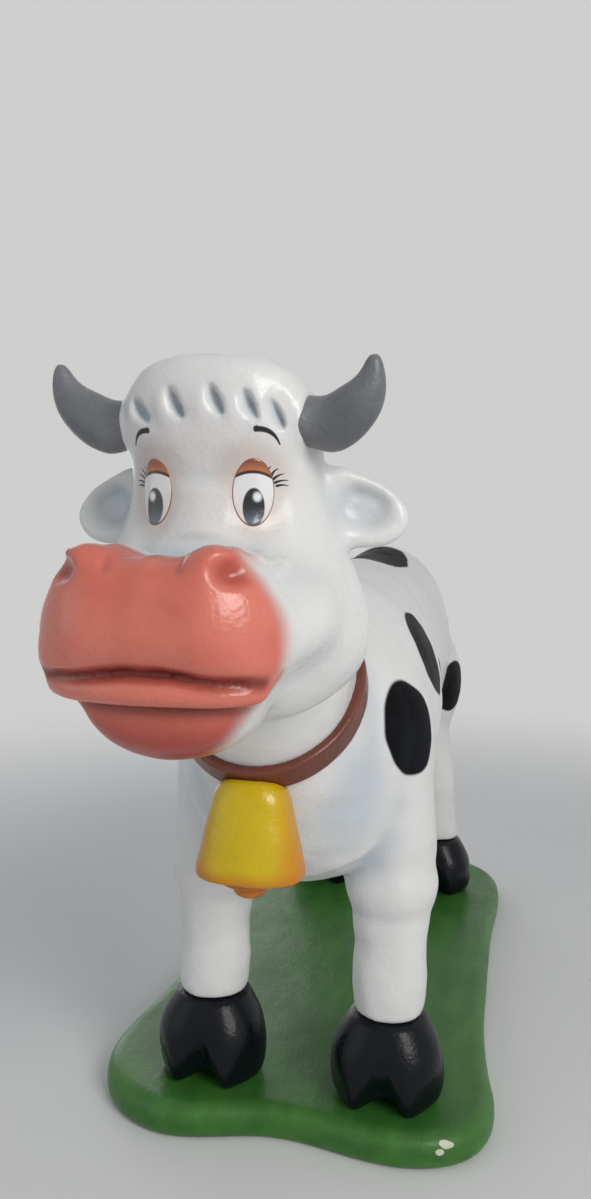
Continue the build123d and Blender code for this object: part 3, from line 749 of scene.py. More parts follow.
lip_line = [on_lip(-across, back) for across, back in lip_shares] + [on_lip(0, 0)]
lip_line += [on_lip(across, back) for across, back in reversed(lip_shares)]
added = [roll("lower_lip", lip_line, [lip_radius * share for share in (0.7, 1, 1, 1, 0.7)])]
cheek_roll = [((56, 44, 26), 15), ((64, 66, 26), 20), ((68, 96, 32), 27), ((62, 126, 40), 32)]
mound_radius = 21.5 * mm
mound_setback = 24 * mm
mound_rise = 22 * mm
for side_name, side in sides.items():
    horn_low, horn_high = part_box(f"{side_name}_horn")
    root_x = min(abs(horn_low.x), abs(horn_high.x))
    mound_y = horn_high.y - mound_setback
    for aside in (-4 * mm, 4 * mm):
        mound = [
            Vector((side * (root_x + outward * mm), mound_y + aside, horn_low.z + mound_rise))
            for outward in (-6, 8, 16)
        ]
        added.append(roll("horn_mound", mound, [mound_radius, mound_radius, 0.95 * mound_radius]))
    cheek = [
        Vector((side * outward * mm, muzzle_low.y + back * mm, muzzle_low.z + up * mm))
        for (outward, back, up), _ in cheek_roll
    ]
    added.append(roll("cheek_fill", cheek, [radius * mm for _, radius in cheek_roll]))
head_nodes = ["head", "muzzle", "lower_jaw", "left_ear", "right_ear"]
coat_head = clay("coat_head", [*head_nodes, "left_eye", "right_eye"], head_voxel, 10, added)

# %% [markdown]
# ## The face
#
# The cheeks are smoothed until no step is left behind the muzzle, and a new skin evens out the stretched
# mesh. Then come the bowls of the ears, the eye sockets and the ridge of the nose. A ray from ahead finds
# where the face lies, so each stroke sits on the surface as it is by then.


# %% Face modelling
def head_tree():
    """The carved head as it is now, ready for rays."""
    return BVHTree.FromObject(coat_head, bpy.context.evaluated_depsgraph_get())


def on_face(across, up, face=None):
    """The place on the front of the carved head at a width and a height, found with a ray from ahead."""
    face = face or head_tree()
    return face.ray_cast(Vector((across, muzzle_low.y - 100 * mm, up)), Vector((0, 1, 0)))[0]


def on_muzzle(across, up):
    """The place on the front of the muzzle at shares of its half width and its height."""
    return on_face(across * muzzle_high.x, muzzle_low.z + up * (muzzle_high.z - muzzle_low.z))


def cheek_weights():
    """How much each vertex of the head belongs to the cheeks, behind the pink."""
    across, back, up = (points_of(coat_head) - (0, muzzle_low.y, muzzle_low.z)).T
    across, back = np.abs(across), np.abs(back)
    weights = rise(across, 36, 14) * rise(back, 32, 16)
    weights *= fall(back, 176, 30) * fall(up, 98, 18)
    return weights * rise(up, -34, 16)


ear_line_shares = [(0.34, 0.66), (0.52, 0.68), (0.7, 0.6), (0.82, 0.47)]
for _ in range(2):
    for lip_end in (lip_line[0], lip_line[-1]):
        relax(coat_head, 0.5 * around(coat_head, lip_end + shift(0, 9, -3), radius=17), rounds=60)
    relax(coat_head, cheek_weights(), rounds=150)
    new_skin(coat_head, head_voxel, rounds=2)
for side_name, side in sides.items():
    ear_low, ear_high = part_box(f"{side_name}_ear")
    ear_wide = ear_high.x - ear_low.x
    ear_tall = ear_high.z - ear_low.z
    ear_root = min(abs(ear_low.x), abs(ear_high.x))
    ear_way = (-0.27 * side, 0.96, 0)
    relax(coat_head, 0.9 * soft(1 - gap_to(coat_head, f"{side_name}_ear") / (4 * mm)), rounds=24)
    bowl = (ear_low + ear_high) / 2 + shift(side * 8, -8, -2)
    press(coat_head, bowl, radii=(24, 12, 22), depth=4, way=ear_way)
    ear_line = [
        on_face(side * (ear_root + across * ear_wide), ear_low.z + up * ear_tall)
        for across, up in ear_line_shares
    ]
    score(coat_head, ear_line, width=10, depth=2.6, fade=0.3, way=ear_way)
    relax(coat_head, around(coat_head, on_face(side * eye_x, eye_z), radius=38), rounds=60)
    press(coat_head, on_face(side * 1.22 * eye_x, eye_z - 4 * mm), radii=(26, 30, 36), depth=3.5)
    press(coat_head, on_face(side * 46 * mm, eye_z - 34 * mm), radii=(26, 34, 26), depth=2)
bridge = [on_face(0, eye_z + step * mm) for step in (14, -4, -20, -30)]
score(coat_head, bridge, width=30, depth=-3.5)
print("face modelled")

# %% [markdown]
# ## Nostrils and lips
#
# Each nostril is a hump pressed out of the muzzle, a scoop pressed into it, a raised rim and a small fold
# beside the nose. The line of the mouth lies where the two lips meet, which is the deepest place that rays
# find there.

# %% Nostrils and lips
hump_shares = (0.53, 0.88)
scoop_shares = (0.66, 0.80)
rim_shares = [(0.44, 0.76), (0.46, 0.86), (0.54, 0.92), (0.64, 0.93), (0.73, 0.89), (0.79, 0.8), (0.82, 0.69)]
fold_shares = [(0.29, 0.76), (0.28, 0.85), (0.30, 0.92)]


def nostril_place(side, shares):
    """A place on one half of the muzzle."""
    return on_muzzle(side * shares[0], shares[1])


for side in sides.values():
    relax(coat_head, around(coat_head, on_muzzle(side * 0.6, 0.8), radius=30), rounds=40)
    press(coat_head, nostril_place(side, hump_shares), (25, 26, 19), -6, way=(-0.1 * side, 0.4, -0.9))
    press(coat_head, nostril_place(side, scoop_shares), (15, 18, 11), 7, way=(-0.45 * side, 0.85, -0.25))
    score(coat_head, [nostril_place(side, shares) for shares in rim_shares], width=6, depth=-1.6)
    score(coat_head, [nostril_place(side, shares) for shares in fold_shares], width=5, depth=1.2)
face = head_tree()
lip_top = lip_line[0].z + lip_radius
mouth_back = muzzle_low.y + 60 * mm
mouth_line = []
for share in np.linspace(-0.95, 0.95, 17):
    tries = [on_face(share * jaw_high.x, lip_top + step * mm, face) for step in range(-4, 11)]
    mouth_line.append(max((place for place in tries if place.y < mouth_back), key=lambda place: place.y))
chin_line = [on_face(place.x, place.z - lip_radius - 1 * mm, face) for place in lip_line[1:-1]]
score(coat_head, mouth_line, width=7, depth=4, fade=0.05, way=(0, 1, 0))
for corner in (mouth_line[0], mouth_line[-1]):
    relax(coat_head, around(coat_head, corner, radius=14), rounds=16)
lumps(coat_head, size=48, height=0.7, seed=8)
lumps(coat_head, size=18, height=0.25, seed=9)
print("mouth line heights in mm:", [round(place.z / mm) for place in mouth_line])

# %% [markdown]
# ## The fringe
#
# Five slanting cuts of a gouge part the forelock. The measured block has them too, but the clay skin rounds
# them off, so the band is smoothed and each nick is cut again with a sharp wall, and the lock beside it is
# raised. Each row of the table has the nick's upper and lower end, across and above the eyes.

# %% Fringe
nick_table = [
    ((-48, 64), (-34, 48)), ((-20, 69), (-9, 48)), ((8, 70), (17, 50)),
    ((29, 67), (38, 47)), ((44, 62), (52, 43)),
]
fringe_back = eye_y + 25 * mm
fringe_height = 55 * mm
head_points = points_of(coat_head)
in_band = soft(2 - np.abs(head_points[:, 2] - eye_z - fringe_height) / (14 * mm))
fringe = in_band * (head_points[:, 1] < fringe_back)
relax(coat_head, fringe * fall(np.abs(head_points[:, 0]), 58, 8), rounds=70)
for (top_x, top_z), (low_x, low_z) in nick_table:
    top = on_face(top_x * mm, eye_z + top_z * mm)
    low = on_face(low_x * mm, eye_z + low_z * mm)
    gouge(coat_head, top, low, width=8.5, depth=8.5, back_limit=fringe_back)
    press(coat_head, (top + low) / 2 - shift(11, 0, 3), radii=(9, 20, 15), depth=-1.2)
relax(coat_head, 0.6 * fringe, rounds=2)
print("fringe cut with", len(nick_table), "nicks")

# %% [markdown]
# ## Paint on the head
#
# The pink is sprayed over the muzzle and the jaw and fades into the white at the sides and on the nose.
# Dark red in the line of the mouth and under the lower lip is painted shade, as is the darker red low on
# the chin. A brownish painted shade lies above each eye, and a bluish grey painted shade deepens the hollows.
# Brows and lashes are licks of a thin brush.

# %% Paint masks of the head
head_points = points_of(coat_head)
aside = np.abs(head_points[:, 0])
from_nose = head_points[:, 1] - muzzle_low.y
height = head_points[:, 2]
front = head_points[:, 1] < muzzle_low.y + 50 * mm


def sprayed(node, front_gap, back_gap=2.6):
    """A faded mask round a measured node, wider in front than behind."""
    close = gap_to(coat_head, node) < np.where(front, front_gap * mm, back_gap * mm)
    return melt(coat_head, close.astype(float), 8)


def along_crease(line, strength):
    """A soft dark line along a crease, a painted shade."""
    return strength * soft(1.1 - nearest_on_line(head_points, smooth_line(line))[0] / (7 * mm))


fade_start = np.interp(height, [muzzle_high.z - 35 * mm, muzzle_high.z], [28 * mm, 14 * mm])
side_fade = rise(from_nose - fade_start, 0, 30) * rise(aside, 44, 14)
pink = sprayed("muzzle", 9) * (1 - side_fade) * (1 - rise(from_nose, 52, 16))
chin_fade_start = np.interp(height, [lip_line[0].z - lip_radius, lip_line[0].z], [26 * mm, 34 * mm])
chin_fade = rise(head_points[:, 1] - jaw_low.y - chin_fade_start, 0, 24) * rise(aside, 22, 20)
pink = np.maximum(pink, sprayed("lower_jaw", 7) * (1 - chin_fade))
keep_mask(coat_head, "pink", pink)
# Painted shade: dark lines along the mouth and under the lower lip, and the fine hollows.
lip_crease_shade = np.maximum(along_crease(mouth_line, 0.85), along_crease(chin_line, 0.7))
fine_hollow = hollows(coat_head, 12, depth=0.6) * np.where(height < muzzle_low.z + 12 * mm, 1, 0.35)
keep_mask(coat_head, "crease", np.maximum(melt(coat_head, fine_hollow, 3), melt(coat_head, lip_crease_shade, 2)))
# Painted shade: bluish grey in the broad hollows and in the nicks of the fringe.
broad_hollow = hollows(coat_head, 60, depth=2.0) * np.where(fringe > 0, 0.3, 1) * (1 - 0.8 * cheek_weights())
nick_shade = hollows(coat_head, 16, depth=1.1) * (fringe > 0)
painted_hollow_shade = np.maximum(melt(coat_head, broad_hollow, 20), melt(coat_head, nick_shade, 3))
keep_mask(coat_head, "painted_hollow_shade", painted_hollow_shade)
print("pink share of the head:", round(float(pink.mean()), 3))

# %% Finish of the head
face_white = paint(216, 215, 211)
face_shade_grey = paint(160, 176, 188)
light_salmon = paint(220, 124, 106)
deep_salmon = paint(206, 106, 90)
chin_shade_red = paint(164, 58, 47)
nostril_red = paint(192, 84, 60)
crease_shade_red = paint(112, 27, 19)
socket_shade_brown = paint(168, 150, 136)
blush_paint = paint(214, 192, 176)
stroke_black = paint(24, 26, 32)
brow = ((5, 42), (17, 34), 3.0, (4.4, 1.2))
lash_table = [
    ((9, 15), (11, 20)), ((11, 14), (15, 19)), ((12, 12), (18, 16)),
    ((13, 10), (20, 12)), ((14, 8), (20, 8.5)),
]
lash_bend = 0.6
lash_widths = (1.7, 0.5)
coat_face, shader = new_finish("coat_face", coat=0.2, coat_roughness=0.2, specular=0.4)
face_skin = use_group(hand_coat, Peel=0.8, Lumps=0.8, Gloss=0.33)
colour = tint(white_paint, face_skin["Mottle"], 0.3, face_white)
# Painted shade: bluish grey in the hollows and nicks of the head.
colour = tint(colour, mask("painted_hollow_shade"), 0.75, face_shade_grey)
salmon = blend(face_skin["Mottle"], light_salmon, deep_salmon)
# Painted shade: the chin turns a darker red towards its bottom.
shade_low, shade_high = (jaw_low.z + share * jaw_tall for share in (0.25, 0.75))
under_lip_shade = ease(split(row_place())[2], shade_low, shade_high, 0.85, 0.0)
salmon = blend(under_lip_shade, salmon, chin_shade_red)
for side in sides.values():
    nostril = brushed_spot(nostril_place(side, scoop_shares), (12, 16, 9), Softness=0.5, Wobble=0.2)
    salmon = tint(salmon, nostril, 0.6, nostril_red)
    # Painted shade: brownish grey over each eye, in its socket.
    over_eye = Vector((side * eye_x, eye_y, eye_z + 20 * mm))
    socket = brushed_spot(over_eye, (21, 30, 17), Softness=0.45, Wobble=0.2)
    colour = tint(colour, socket, 0.32, socket_shade_brown)
    blush = brushed_spot(Vector((side * eye_x, eye_y, eye_z)), (21, 34, 30), Softness=0.4, Wobble=0.2)
    colour = tint(colour, blush, 0.4, blush_paint)
# Painted shade: dark red in the mouth's creases and the fine hollows.
salmon = blend(mask("crease"), salmon, crease_shade_red)
colour = blend(mask("pink"), colour, salmon)


def by_eye(side, place):
    """A place beside the middle of an eye, in the plane of the face."""
    return Vector((side * (eye_x + place[0] * mm), 0, eye_z + place[1] * mm))


strokes = 0.0
for side in sides.values():
    for start, finish, bend, widths in [brow, *[(*ends, lash_bend, lash_widths) for ends in lash_table]]:
        lick = use_group(
            painted_stroke, Start=by_eye(side, start), Finish=by_eye(side, finish), Bend=side * bend * mm,
            Start_width=widths[0] * mm, Finish_width=widths[1] * mm, Back_limit=eye_y + 30 * mm,
        )["Mask"]
        strokes = math("MAXIMUM", lick, strokes)
colour = blend(strokes, colour, stroke_black)
wet_pink = math("MULTIPLY_ADD", mask("pink"), -0.03, face_skin["Roughness"])
coat_over(shader, colour, wet_pink, face_skin["Height"])
dress(coat_head, coat_face, "white_coat", *head_nodes)

# %% [markdown]
# ## The eyes
#
# Each eye is a low oval swelling with everything painted on it: a white, a dark pupil with a soft
# highlight, an orange lid with a dark lower line, and a thin brown outline. The swelling follows the face,
# so its points are dropped onto the carved head with rays. The paint is drawn in the oval's own
# coordinates, kept as a UV map, so that one finish serves both eyes.

# %% Eye shapes
eye_half_width = 14.2 * mm
eye_half_height = 22.5 * mm
eye_swell = 1.6 * mm
eye_sink = 0.6 * mm
eye_rings = 14
eye_spokes = 48


def oval_eye(name, side):
    """An oval swelling that lies on the face, closed behind."""
    face = head_tree()
    centre = Vector((side * (eye_x + 1 * mm), eye_y - 60 * mm, eye_z + 3 * mm))
    seat, facing = face.ray_cast(centre, Vector((0, 1, 0)))[:2]
    facing = (facing + Vector((0, -0.3, 0))).normalized()
    across = Vector((0, 0, 1)).cross(facing).normalized()
    up = facing.cross(across)
    shape = bmesh.new()
    oval_map = shape.loops.layers.uv.new("eye_oval")
    top = shape.verts.new(seat + facing * eye_swell)
    on_oval = {top: (0.0, 0.0)}
    rings = []
    for ring in range(1, eye_rings + 1):
        share = ring / eye_rings
        row = []
        for spoke in range(eye_spokes):
            angle = 2 * pi * spoke / eye_spokes
            wide, tall = eye_half_width * share * cos(angle), eye_half_height * share * sin(angle)
            offset = across * wide + up * tall
            hit = face.ray_cast(seat + offset + facing * 30 * mm, -facing)[0]
            lift = eye_swell * sqrt(max(0.0, 1 - share ** 2)) - (eye_sink if ring == eye_rings else 0)
            vertex = shape.verts.new(hit + facing * lift)
            on_oval[vertex] = (share * cos(angle) * side, share * sin(angle))
            row.append(vertex)
        rings.append(row)
    back = shape.verts.new(seat - facing * 6 * mm)
    on_oval[back] = (0.0, -1.0)
    for spoke in range(eye_spokes):
        after = (spoke + 1) % eye_spokes
        shape.faces.new((top, rings[0][spoke], rings[0][after]))
        for inner_ring, outer_ring in zip(rings, rings[1:]):
            shape.faces.new((inner_ring[spoke], outer_ring[spoke], outer_ring[after], inner_ring[after]))
        shape.faces.new((rings[-1][after], rings[-1][spoke], back))
    for oval_face in shape.faces:
        for loop in oval_face.loops:
            loop[oval_map].uv = on_oval[loop.vert]
    return piece_from(shape, name)


painted_eyes = {side_name: oval_eye(f"{side_name}_painted_eye", side) for side_name, side in sides.items()}
print("eyes:", len(painted_eyes))

# %% Eye paint
eye_paint, shader = new_finish("eye_paint", coat=0.6, coat_roughness=0.08)
uv_node = bench.nodes.new("ShaderNodeUVMap")
uv_node.uv_map = "eye_oval"
oval_place = uv_node.outputs[0]
out_share, up_share, _ = split(oval_place)


def eye_oval(centre, half_sizes, softness):
    """A painted oval inside the eye, in shares of the eye."""
    from_centre = vector_math("SUBTRACT", oval_place, (*centre, 0))
    reach = length(vector_math("DIVIDE", from_centre, (*half_sizes, 1)))
    return ease(reach, 1 - softness, 1 + softness, 1.0, 0.0)


eye_skin = use_group(hand_coat, Peel=0.8, Lumps=0.4, Gloss=0.22)
colour = blend(ease(up_share, -1.0, 0.3), paint(228, 216, 210), paint(232, 232, 233))
pupil_shade = blend(ease(up_share, -0.95, -0.35, 1.0, 0.0), paint(14, 18, 24), paint(84, 97, 112))
colour = blend(eye_oval((0.02, -0.42), (0.50, 0.55), 0.05), colour, pupil_shade)
colour = blend(eye_oval((0.18, -0.12), (0.19, 0.13), 0.5), colour, paint(236, 240, 244))
lid_line = math("MULTIPLY_ADD", math("POWER", out_share, 2.0), -0.2, 0.58)
above_line = math("SUBTRACT", up_share, lid_line)
lid_shade = blend(ease(above_line, 0.0, 0.38), paint(186, 112, 62), paint(126, 62, 38))
colour = blend(ease(above_line, -0.01, 0.01), colour, lid_shade)
lash_line = ease(math("ABSOLUTE", above_line), 0.03, 0.06, 1.0, 0.0)
colour = blend(lash_line, colour, paint(40, 20, 16))
outline = ease(length(oval_place), 0.90, 0.94)
colour = blend(outline, colour, paint(142, 84, 62))
coat_over(shader, colour, eye_skin["Roughness"], eye_skin["Height"], distance=0.25)
for side_name, piece in painted_eyes.items():
    dress(piece, eye_paint, "eye_paint", f"{side_name}_eye")

# %% [markdown]
# ## One paint each
#
# Horns, hooves, tail, udder, collar and clapper are carved blocks with one paint each. A single function
# mixes these paints: two tones that drift over the piece, edges paled as patchy wear mixed with painted
# highlight, hollows darkened as painted shade, and the bump of the hand coat. The two tones and the gloss
# differ.


# %% One-paint finishes
def plain_paint(name, main, drift, gloss, edge=None, hollow=None, peel=1.0, lump=0.8, coat=0.2,
                specular=0.35):
    """A brushed paint. Where their colours are given, edges pale as wear and painted highlight, hollows
    darken as painted shade.
    """
    material, shader = new_finish(name, coat=coat, specular=specular)
    skin = use_group(hand_coat, Peel=peel, Lumps=lump, Gloss=gloss)
    edge_hollow_masks = use_group(edges_and_hollows, Spread=0.06)
    colour = blend(skin["Mottle"], main, drift)
    if hollow:
        colour = tint(colour, edge_hollow_masks["Hollows"], 0.8, hollow)
    if edge:
        colour = tint(colour, edge_hollow_masks["Edges"], 0.6, edge)
    coat_over(shader, colour, skin["Roughness"], skin["Height"])
    return material


# Each edge colour below is a painted highlight mixed with patchy wear, and each hollow colour a painted
# shade.
horn_grey = plain_paint("horn_grey", paint(122, 124, 127), paint(98, 101, 106), 0.36,
                        edge=paint(158, 160, 162), peel=1.4, lump=1.2, coat=0.1)
hoof_black = plain_paint("hoof_black", paint(15, 19, 27), paint(9, 12, 18), 0.26, coat=0.06, specular=0.18,
                         edge=paint(40, 48, 60))
tail_white = plain_paint("tail_white", white_paint, paint(212, 211, 206), 0.36, hollow=hollow_shade_grey)
tuft_black = plain_paint("tuft_black", black_paint, paint(30, 31, 35), 0.34, edge=paint(58, 60, 66))
udder_pink = plain_paint("udder_pink", paint(228, 158, 146), paint(218, 142, 130), 0.36,
                         hollow=paint(166, 84, 72))
collar_brown = plain_paint("collar_brown", paint(112, 56, 40), paint(94, 44, 30), 0.34,
                           edge=paint(150, 92, 70), hollow=paint(58, 24, 16))
clapper_orange = plain_paint("clapper_orange", paint(198, 118, 12), paint(180, 100, 8), 0.34,
                             hollow=paint(110, 58, 10))
print("seven plain paints")

# %% [markdown]
# ## Horns, hooves and tail
#
# The measured shapes are right, so a fine skin over them only needs what the gouge left: slimmer tips on
# the horns, and on the hooves two pointed toes with a cleft between them. The toes are drawn to their
# points by moving the front of the hoof towards two lines, one on each side of its middle. The tuft gets
# twisted strands, which are a wave round the tail.

# %% Horns
horn_swell = 0.5 * mm
tip_thinning = 2.6 * mm
for side_name in sides:
    horn = clay(f"{side_name}_carved_horn", [f"{side_name}_horn"], voxel=1.3, rounds=6)
    horn_low, horn_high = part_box(f"{side_name}_horn")
    horn_points = points_of(horn)
    tip_share = soft((horn_points[:, 2] - horn_low.z) / (horn_high.z - horn_low.z) * 1.5 - 0.5)
    grow = horn_swell - tip_thinning * tip_share
    set_points(horn, horn_points + normals_of(horn) * grow[:, None])
    lumps(horn, size=22, height=0.35, seed=21)
    dress(horn, horn_grey, "grey_horn", f"{side_name}_horn")

# %% Hooves
toe_share = 0.23
toe_pinch = 0.62
toe_reach = 3 * mm
cleft_shares = [(14, 0.12), (12, 0.3), (14, 0.46), (20, 0.6)]
hoof_nodes = [f"{end}_{side_name}" for end in ("front", "rear") for side_name in sides]
for hoof_name in hoof_nodes:
    hoof = clay(f"{hoof_name}_cloven_hoof", [f"{hoof_name}_hoof"], voxel=1.8, rounds=10)
    hoof_low, hoof_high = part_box(f"{hoof_name}_hoof")
    hoof_x = (hoof_low.x + hoof_high.x) / 2
    hoof_tall = hoof_high.z - hoof_low.z
    horny = points_of(hoof)
    toe_x = hoof_x + np.sign(horny[:, 0] - hoof_x) * toe_share * (hoof_high.x - hoof_low.x)
    ahead = soft((hoof_low.y + 46 * mm - horny[:, 1]) / (46 * mm))
    toe_tip = ahead * soft((hoof_low.z + 56 * mm - horny[:, 2]) / (50 * mm))
    horny[:, 0] += (toe_x - horny[:, 0]) * toe_pinch * toe_tip
    horny[:, 1] -= toe_reach * toe_tip
    set_points(hoof, horny)
    all_over = np.ones(len(horny))
    relax(hoof, all_over, rounds=18)
    cleft = [
        Vector((hoof_x, hoof_low.y + back * mm, hoof_low.z + up * hoof_tall)) for back, up in cleft_shares
    ]
    score(hoof, cleft, width=18, depth=10, fade=0.3, way=(0, 1, 0))
    relax(hoof, all_over, rounds=4)
    push(hoof, all_over, -0.5)
    lumps(hoof, size=30, height=0.5, seed=31)
    dress(hoof, hoof_black, "black_hoof", f"{hoof_name}_hoof")

# %% Tail, tuft and udder
carved_tail = clay("carved_tail", ["tail"], voxel=1.5, rounds=6)
lumps(carved_tail, size=40, height=0.5, seed=41)
dress(carved_tail, tail_white, "white_coat", "tail")
strand_count = 9
strand_twist = 5
carved_tuft = clay("carved_tuft", ["tail_tuft"], voxel=1.2, rounds=6)
tuft_low, tuft_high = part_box("tail_tuft")
hair = points_of(carved_tuft)
turn = np.arctan2(hair[:, 1] - (tuft_low.y + tuft_high.y) / 2, hair[:, 0])
down = (tuft_high.z - hair[:, 2]) / (tuft_high.z - tuft_low.z)
strands = np.sin(strand_count * turn + strand_twist * down) * soft(down * 3) * soft((1 - down) * 4)
push(carved_tuft, strands, -1.1)
dress(carved_tuft, tuft_black, "black_hoof", "tail_tuft")
carved_udder = clay("carved_udder", ["udder"], voxel=1.6, rounds=8)
dress(carved_udder, udder_pink, "pink_udder", "udder")

# %% [markdown]
# ## Collar, bell and clapper
#
# The collar is a flat strap modelled round the neck, and the bell is a squarish block that leans on the
# chest, painted yellow, with orange towards its sides, along its rounded edges and at its lower rim as
# painted shade. The clapper is a stepped stub whose upper ring flares.

# %% Collar
neck_collar = clay("neck_collar", ["collar"], voxel=1.3, rounds=5)
lumps(neck_collar, size=36, height=0.5, seed=51)
dress(neck_collar, collar_brown, "brown_collar", "collar")

# %% Bell
bell_low, bell_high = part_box("bell")
cow_bell = clay("cow_bell", ["bell"], voxel=1.4, rounds=5)
lumps(cow_bell, size=36, height=0.6, seed=52)
# The bell's rounded edges, for an orange painted shade.
keep_mask(cow_bell, "edge", melt(cow_bell, hollows(cow_bell, 60, depth=-1.6), 10))
bell_yellow, shader = new_finish("bell_yellow", coat=0.25, specular=0.35)
bell_skin = use_group(hand_coat, Peel=1.0, Lumps=1.2, Gloss=0.32)
bell_x, _, bell_z = split(row_place())
# Painted shade: orange towards the sides and on the edges, and a darker orange at the lower rim.
across_share = math("ABSOLUTE", math("DIVIDE", bell_x, bell_high.x))
low_rim_shade = ease(bell_z, bell_low.z, bell_low.z + 14 * mm, 0.75, 0.0)
colour = blend(bell_skin["Mottle"], paint(208, 182, 8), paint(194, 164, 5))
colour = blend(ease(across_share, 0.45, 0.95, 0.0, 0.75), colour, paint(204, 118, 8))
colour = tint(colour, mask("edge"), 0.3, paint(200, 120, 10))
colour = blend(low_rim_shade, colour, paint(196, 112, 8))
coat_over(shader, colour, bell_skin["Roughness"], bell_skin["Height"])
dress(cow_bell, bell_yellow, "yellow_bell", "bell")

# %% Clapper
flare_share = 0.16
stub = clay("stub_clapper", ["bell_clapper"], voxel=0.8, rounds=4)
stub_low, stub_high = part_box("bell_clapper")
stub_middle = (stub_low + stub_high) / 2
flared = points_of(stub)
from_axis = (flared - np.array(stub_middle)) * (1, 1, 0)
upper_ring = rise(flared[:, 2] - stub_middle.z, 0, 4)
set_points(stub, flared + from_axis * (flare_share * upper_ring)[:, None])
dress(stub, clapper_orange, "orange_clapper", "bell_clapper")

# %% [markdown]
# ## The green base
#
# A wooden slab with a wavy outline and a rounded rim, painted green with a broad brush. The paint drifts
# between two greens, is paler on the rim, a painted highlight mixed with patchy wear, and is chipped at a
# front corner, where the filler shows.

# %% Base
chip_table = [((0, 0, 0), (10, 6, 5)), ((-9, -3, -7), (4, 4, 3)), ((5, 2, 4), (3, 3, 3))]
base_low, base_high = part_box("base_plinth")
green_slab = clay("green_slab", ["base_plinth"], voxel=3.2, rounds=6)
lumps(green_slab, size=120, height=0.6, seed=61)
base_green, shader = new_finish("base_green", coat=0.12, specular=0.28)
base_skin = use_group(hand_coat, Peel=1.0, Lumps=0.8, Gloss=0.4)
brush_way = vector_math("MULTIPLY", row_place(), (1.0, 0.22, 1.0))
brushed = grain(brush_way, 42.0, 5.0, 0.65)
colour = blend(ease(brushed, 0.3, 0.7), paint(48, 98, 38), paint(62, 116, 46))
# Painted highlight mixed with patchy wear: a paler green on the rounded rim.
colour = tint(colour, use_group(edges_and_hollows, Spread=0.04)["Edges"], 0.5, paint(98, 150, 78))
chip_place = Vector((base_high.x - 38 * mm, base_low.y + 22 * mm, base_high.z - 6 * mm))
for step, radii in chip_table:
    chip = brushed_spot(chip_place + Vector(step) * mm, radii, Wobble=0.9, Wobble_scale=120.0)
    colour = blend(chip, colour, paint(206, 202, 186))
brush_marks = math("MULTIPLY_ADD", brushed, 0.8, base_skin["Height"])
coat_over(shader, colour, base_skin["Roughness"], brush_marks)
dress(green_slab, base_green, "green_base", "base_plinth")

# %% [markdown]
# ## Rods, nuts and dowels
#
# What holds the blocks together is hidden, apart from the nuts in the base. These measured shapes are right
# as they are, so they stay and only get a finish: turned steel with fine rings, and beech with its grain.

# %% Steel and wood
steel, shader = new_finish("zinc_steel", roughness=0.35)
shader.inputs["Metallic"].default_value = 1.0
turned = grain(vector_math("MULTIPLY", row_place(), (0.2, 0.2, 1.0)), 900.0)
plug(shader.inputs["Base Color"], blend(turned, paint(150, 152, 156), paint(186, 188, 190)))
plug(shader.inputs["Roughness"], ease(turned, 0.2, 0.8, 0.28, 0.46))
beech, shader = new_finish("beech_dowel", roughness=0.6)
fibre = grain(vector_math("MULTIPLY", row_place(), (1.0, 0.15, 1.0)), 500.0, 3.0)
plug(shader.inputs["Base Color"], blend(fibre, paint(196, 158, 112), paint(170, 128, 84)))
bump_into(shader, fibre, 0.2)
hardware = {
    steel: ["leg_rods", "rod_washers", "rod_nuts", "neck_rod"],
    beech: ["face_dowels", "horn_dowels", "ear_dowels", "tail_dowel"],
}
for material, nodes in hardware.items():
    for node in nodes:
        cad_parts[node].data.materials.clear()
        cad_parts[node].data.materials.append(material)
print("hardware finished")

# %% [markdown]
# ## Floor, light and camera
#
# A pale floor that fades into the background, one large soft lamp from the right and two weaker ones, at a
# level where a colour renders about as it is written. The camera stands where the photographer stood, close
# to the nose and a little to the cow's left.

# %% Floor and background
pale = (0.62, 0.62, 0.615, 1.0)
floor_grey = (0.78, 0.78, 0.775, 1.0)
sky_light = (0.80, 0.83, 0.88, 1.0)
sky_strength = 0.40
floor_reach = 30.0
fade_near = 0.7
fade_far = 2.4
corners = [(x * floor_reach, y * floor_reach, 0) for x, y in ((-1, -1), (1, -1), (1, 1), (-1, 1))]
floor_mesh = bpy.data.meshes.new("floor")
floor_mesh.from_pydata(corners, [], [(0, 1, 2, 3)])
floor = link_piece("floor", floor_mesh)
floor_pale, shader = new_finish("floor_pale", roughness=0.8)
shader.inputs["Base Color"].default_value = floor_grey
far = ease(length(row_place()), fade_near, fade_far)
ray = bench.nodes.new("ShaderNodeLightPath").outputs
seen = math("MAXIMUM", ray["Is Camera Ray"], ray["Is Glossy Ray"])
glow = bench.nodes.new("ShaderNodeEmission")
glow.inputs["Color"].default_value = pale
join = bench.nodes.new("ShaderNodeMixShader")
plug(join.inputs[0], math("MULTIPLY", far, seen))
plug(join.inputs[1], shader.outputs[0])
plug(join.inputs[2], glow.outputs[0])
plug(bench.nodes["Material Output"].inputs["Surface"], join.outputs[0])
floor_mesh.materials.append(floor_pale)

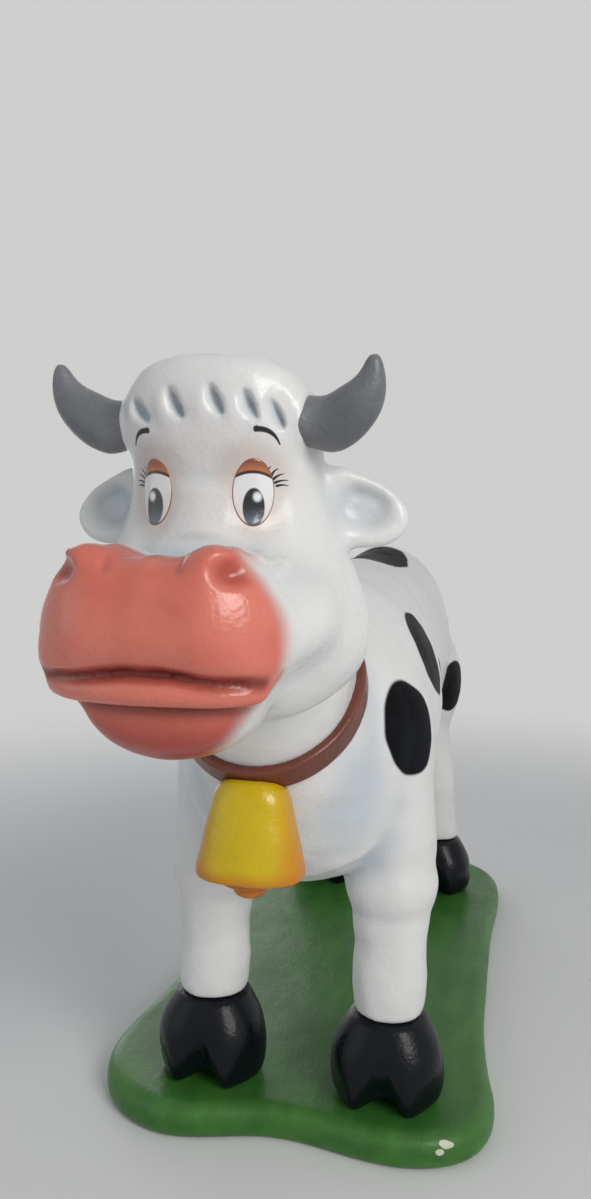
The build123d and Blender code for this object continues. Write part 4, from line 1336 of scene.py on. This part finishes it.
world = bpy.data.worlds.new("studio")
bpy.context.scene.world = world
world.use_nodes = True
bench = world.node_tree
ray = bench.nodes.new("ShaderNodeLightPath").outputs
shiny = math("MAXIMUM", ray["Is Glossy Ray"], ray["Is Transmission Ray"])
seen = math("MAXIMUM", ray["Is Camera Ray"], shiny)
sky = bench.nodes["Background"]
plug(sky.inputs["Color"], blend(seen, sky_light, pale))
plug(sky.inputs["Strength"], ease(seen, 0.0, 1.0, sky_strength, 1.0))
print("floor and background ready")

# %% Lamps
chest = Vector((0, -0.25, 0.42))


def soft_lamp(name, place, size, power, colour=(1, 1, 1)):
    """A square area lamp that looks at the cow's chest."""
    lamp = bpy.data.lights.new(name, "AREA")
    lamp.size = size
    lamp.energy = power
    lamp.color = colour
    holder = bpy.data.objects.new(name, lamp)
    holder.location = place
    holder.rotation_euler = (chest - Vector(place)).to_track_quat("-Z", "Y").to_euler()
    bpy.context.scene.collection.objects.link(holder)


soft_lamp("key_lamp", (1.8, -2.0, 1.6), size=1.2, power=39.0, colour=(1.0, 0.98, 0.95))
soft_lamp("fill_lamp", (-2.2, -1.8, 1.1), size=1.8, power=5.0, colour=(0.94, 0.97, 1.0))
soft_lamp("back_lamp", (-1.8, 2.4, 1.0), size=2.2, power=16.0)
print("three lamps")

# %% Camera
camera_place = Vector((193.6, -1200.2, 557.4)) * mm
camera_yaw = radians(13.34)
camera_dip = radians(2.6)
camera_roll = radians(1.14)
image_height_pixels = 1199
focal_pixels = 900
forward = Vector((-sin(camera_yaw) * cos(camera_dip), cos(camera_yaw) * cos(camera_dip), -sin(camera_dip)))
level_right = Vector((cos(camera_yaw), sin(camera_yaw), 0))
level_up = level_right.cross(forward)
right = level_right * cos(camera_roll) + level_up * sin(camera_roll)
up = level_up * cos(camera_roll) - level_right * sin(camera_roll)
lens = bpy.data.cameras.new("camera")
lens.sensor_fit = "VERTICAL"
lens.sensor_height = 36.0
lens.lens = focal_pixels / image_height_pixels * lens.sensor_height
camera = bpy.data.objects.new("camera", lens)
camera.matrix_world = Matrix.Translation(camera_place) @ Matrix((right, up, -forward)).transposed().to_4x4()
bpy.context.scene.collection.objects.link(camera)
bpy.context.scene.camera = camera
bpy.context.scene.view_settings.view_transform = "Standard"
print("camera lens", round(lens.lens, 2))
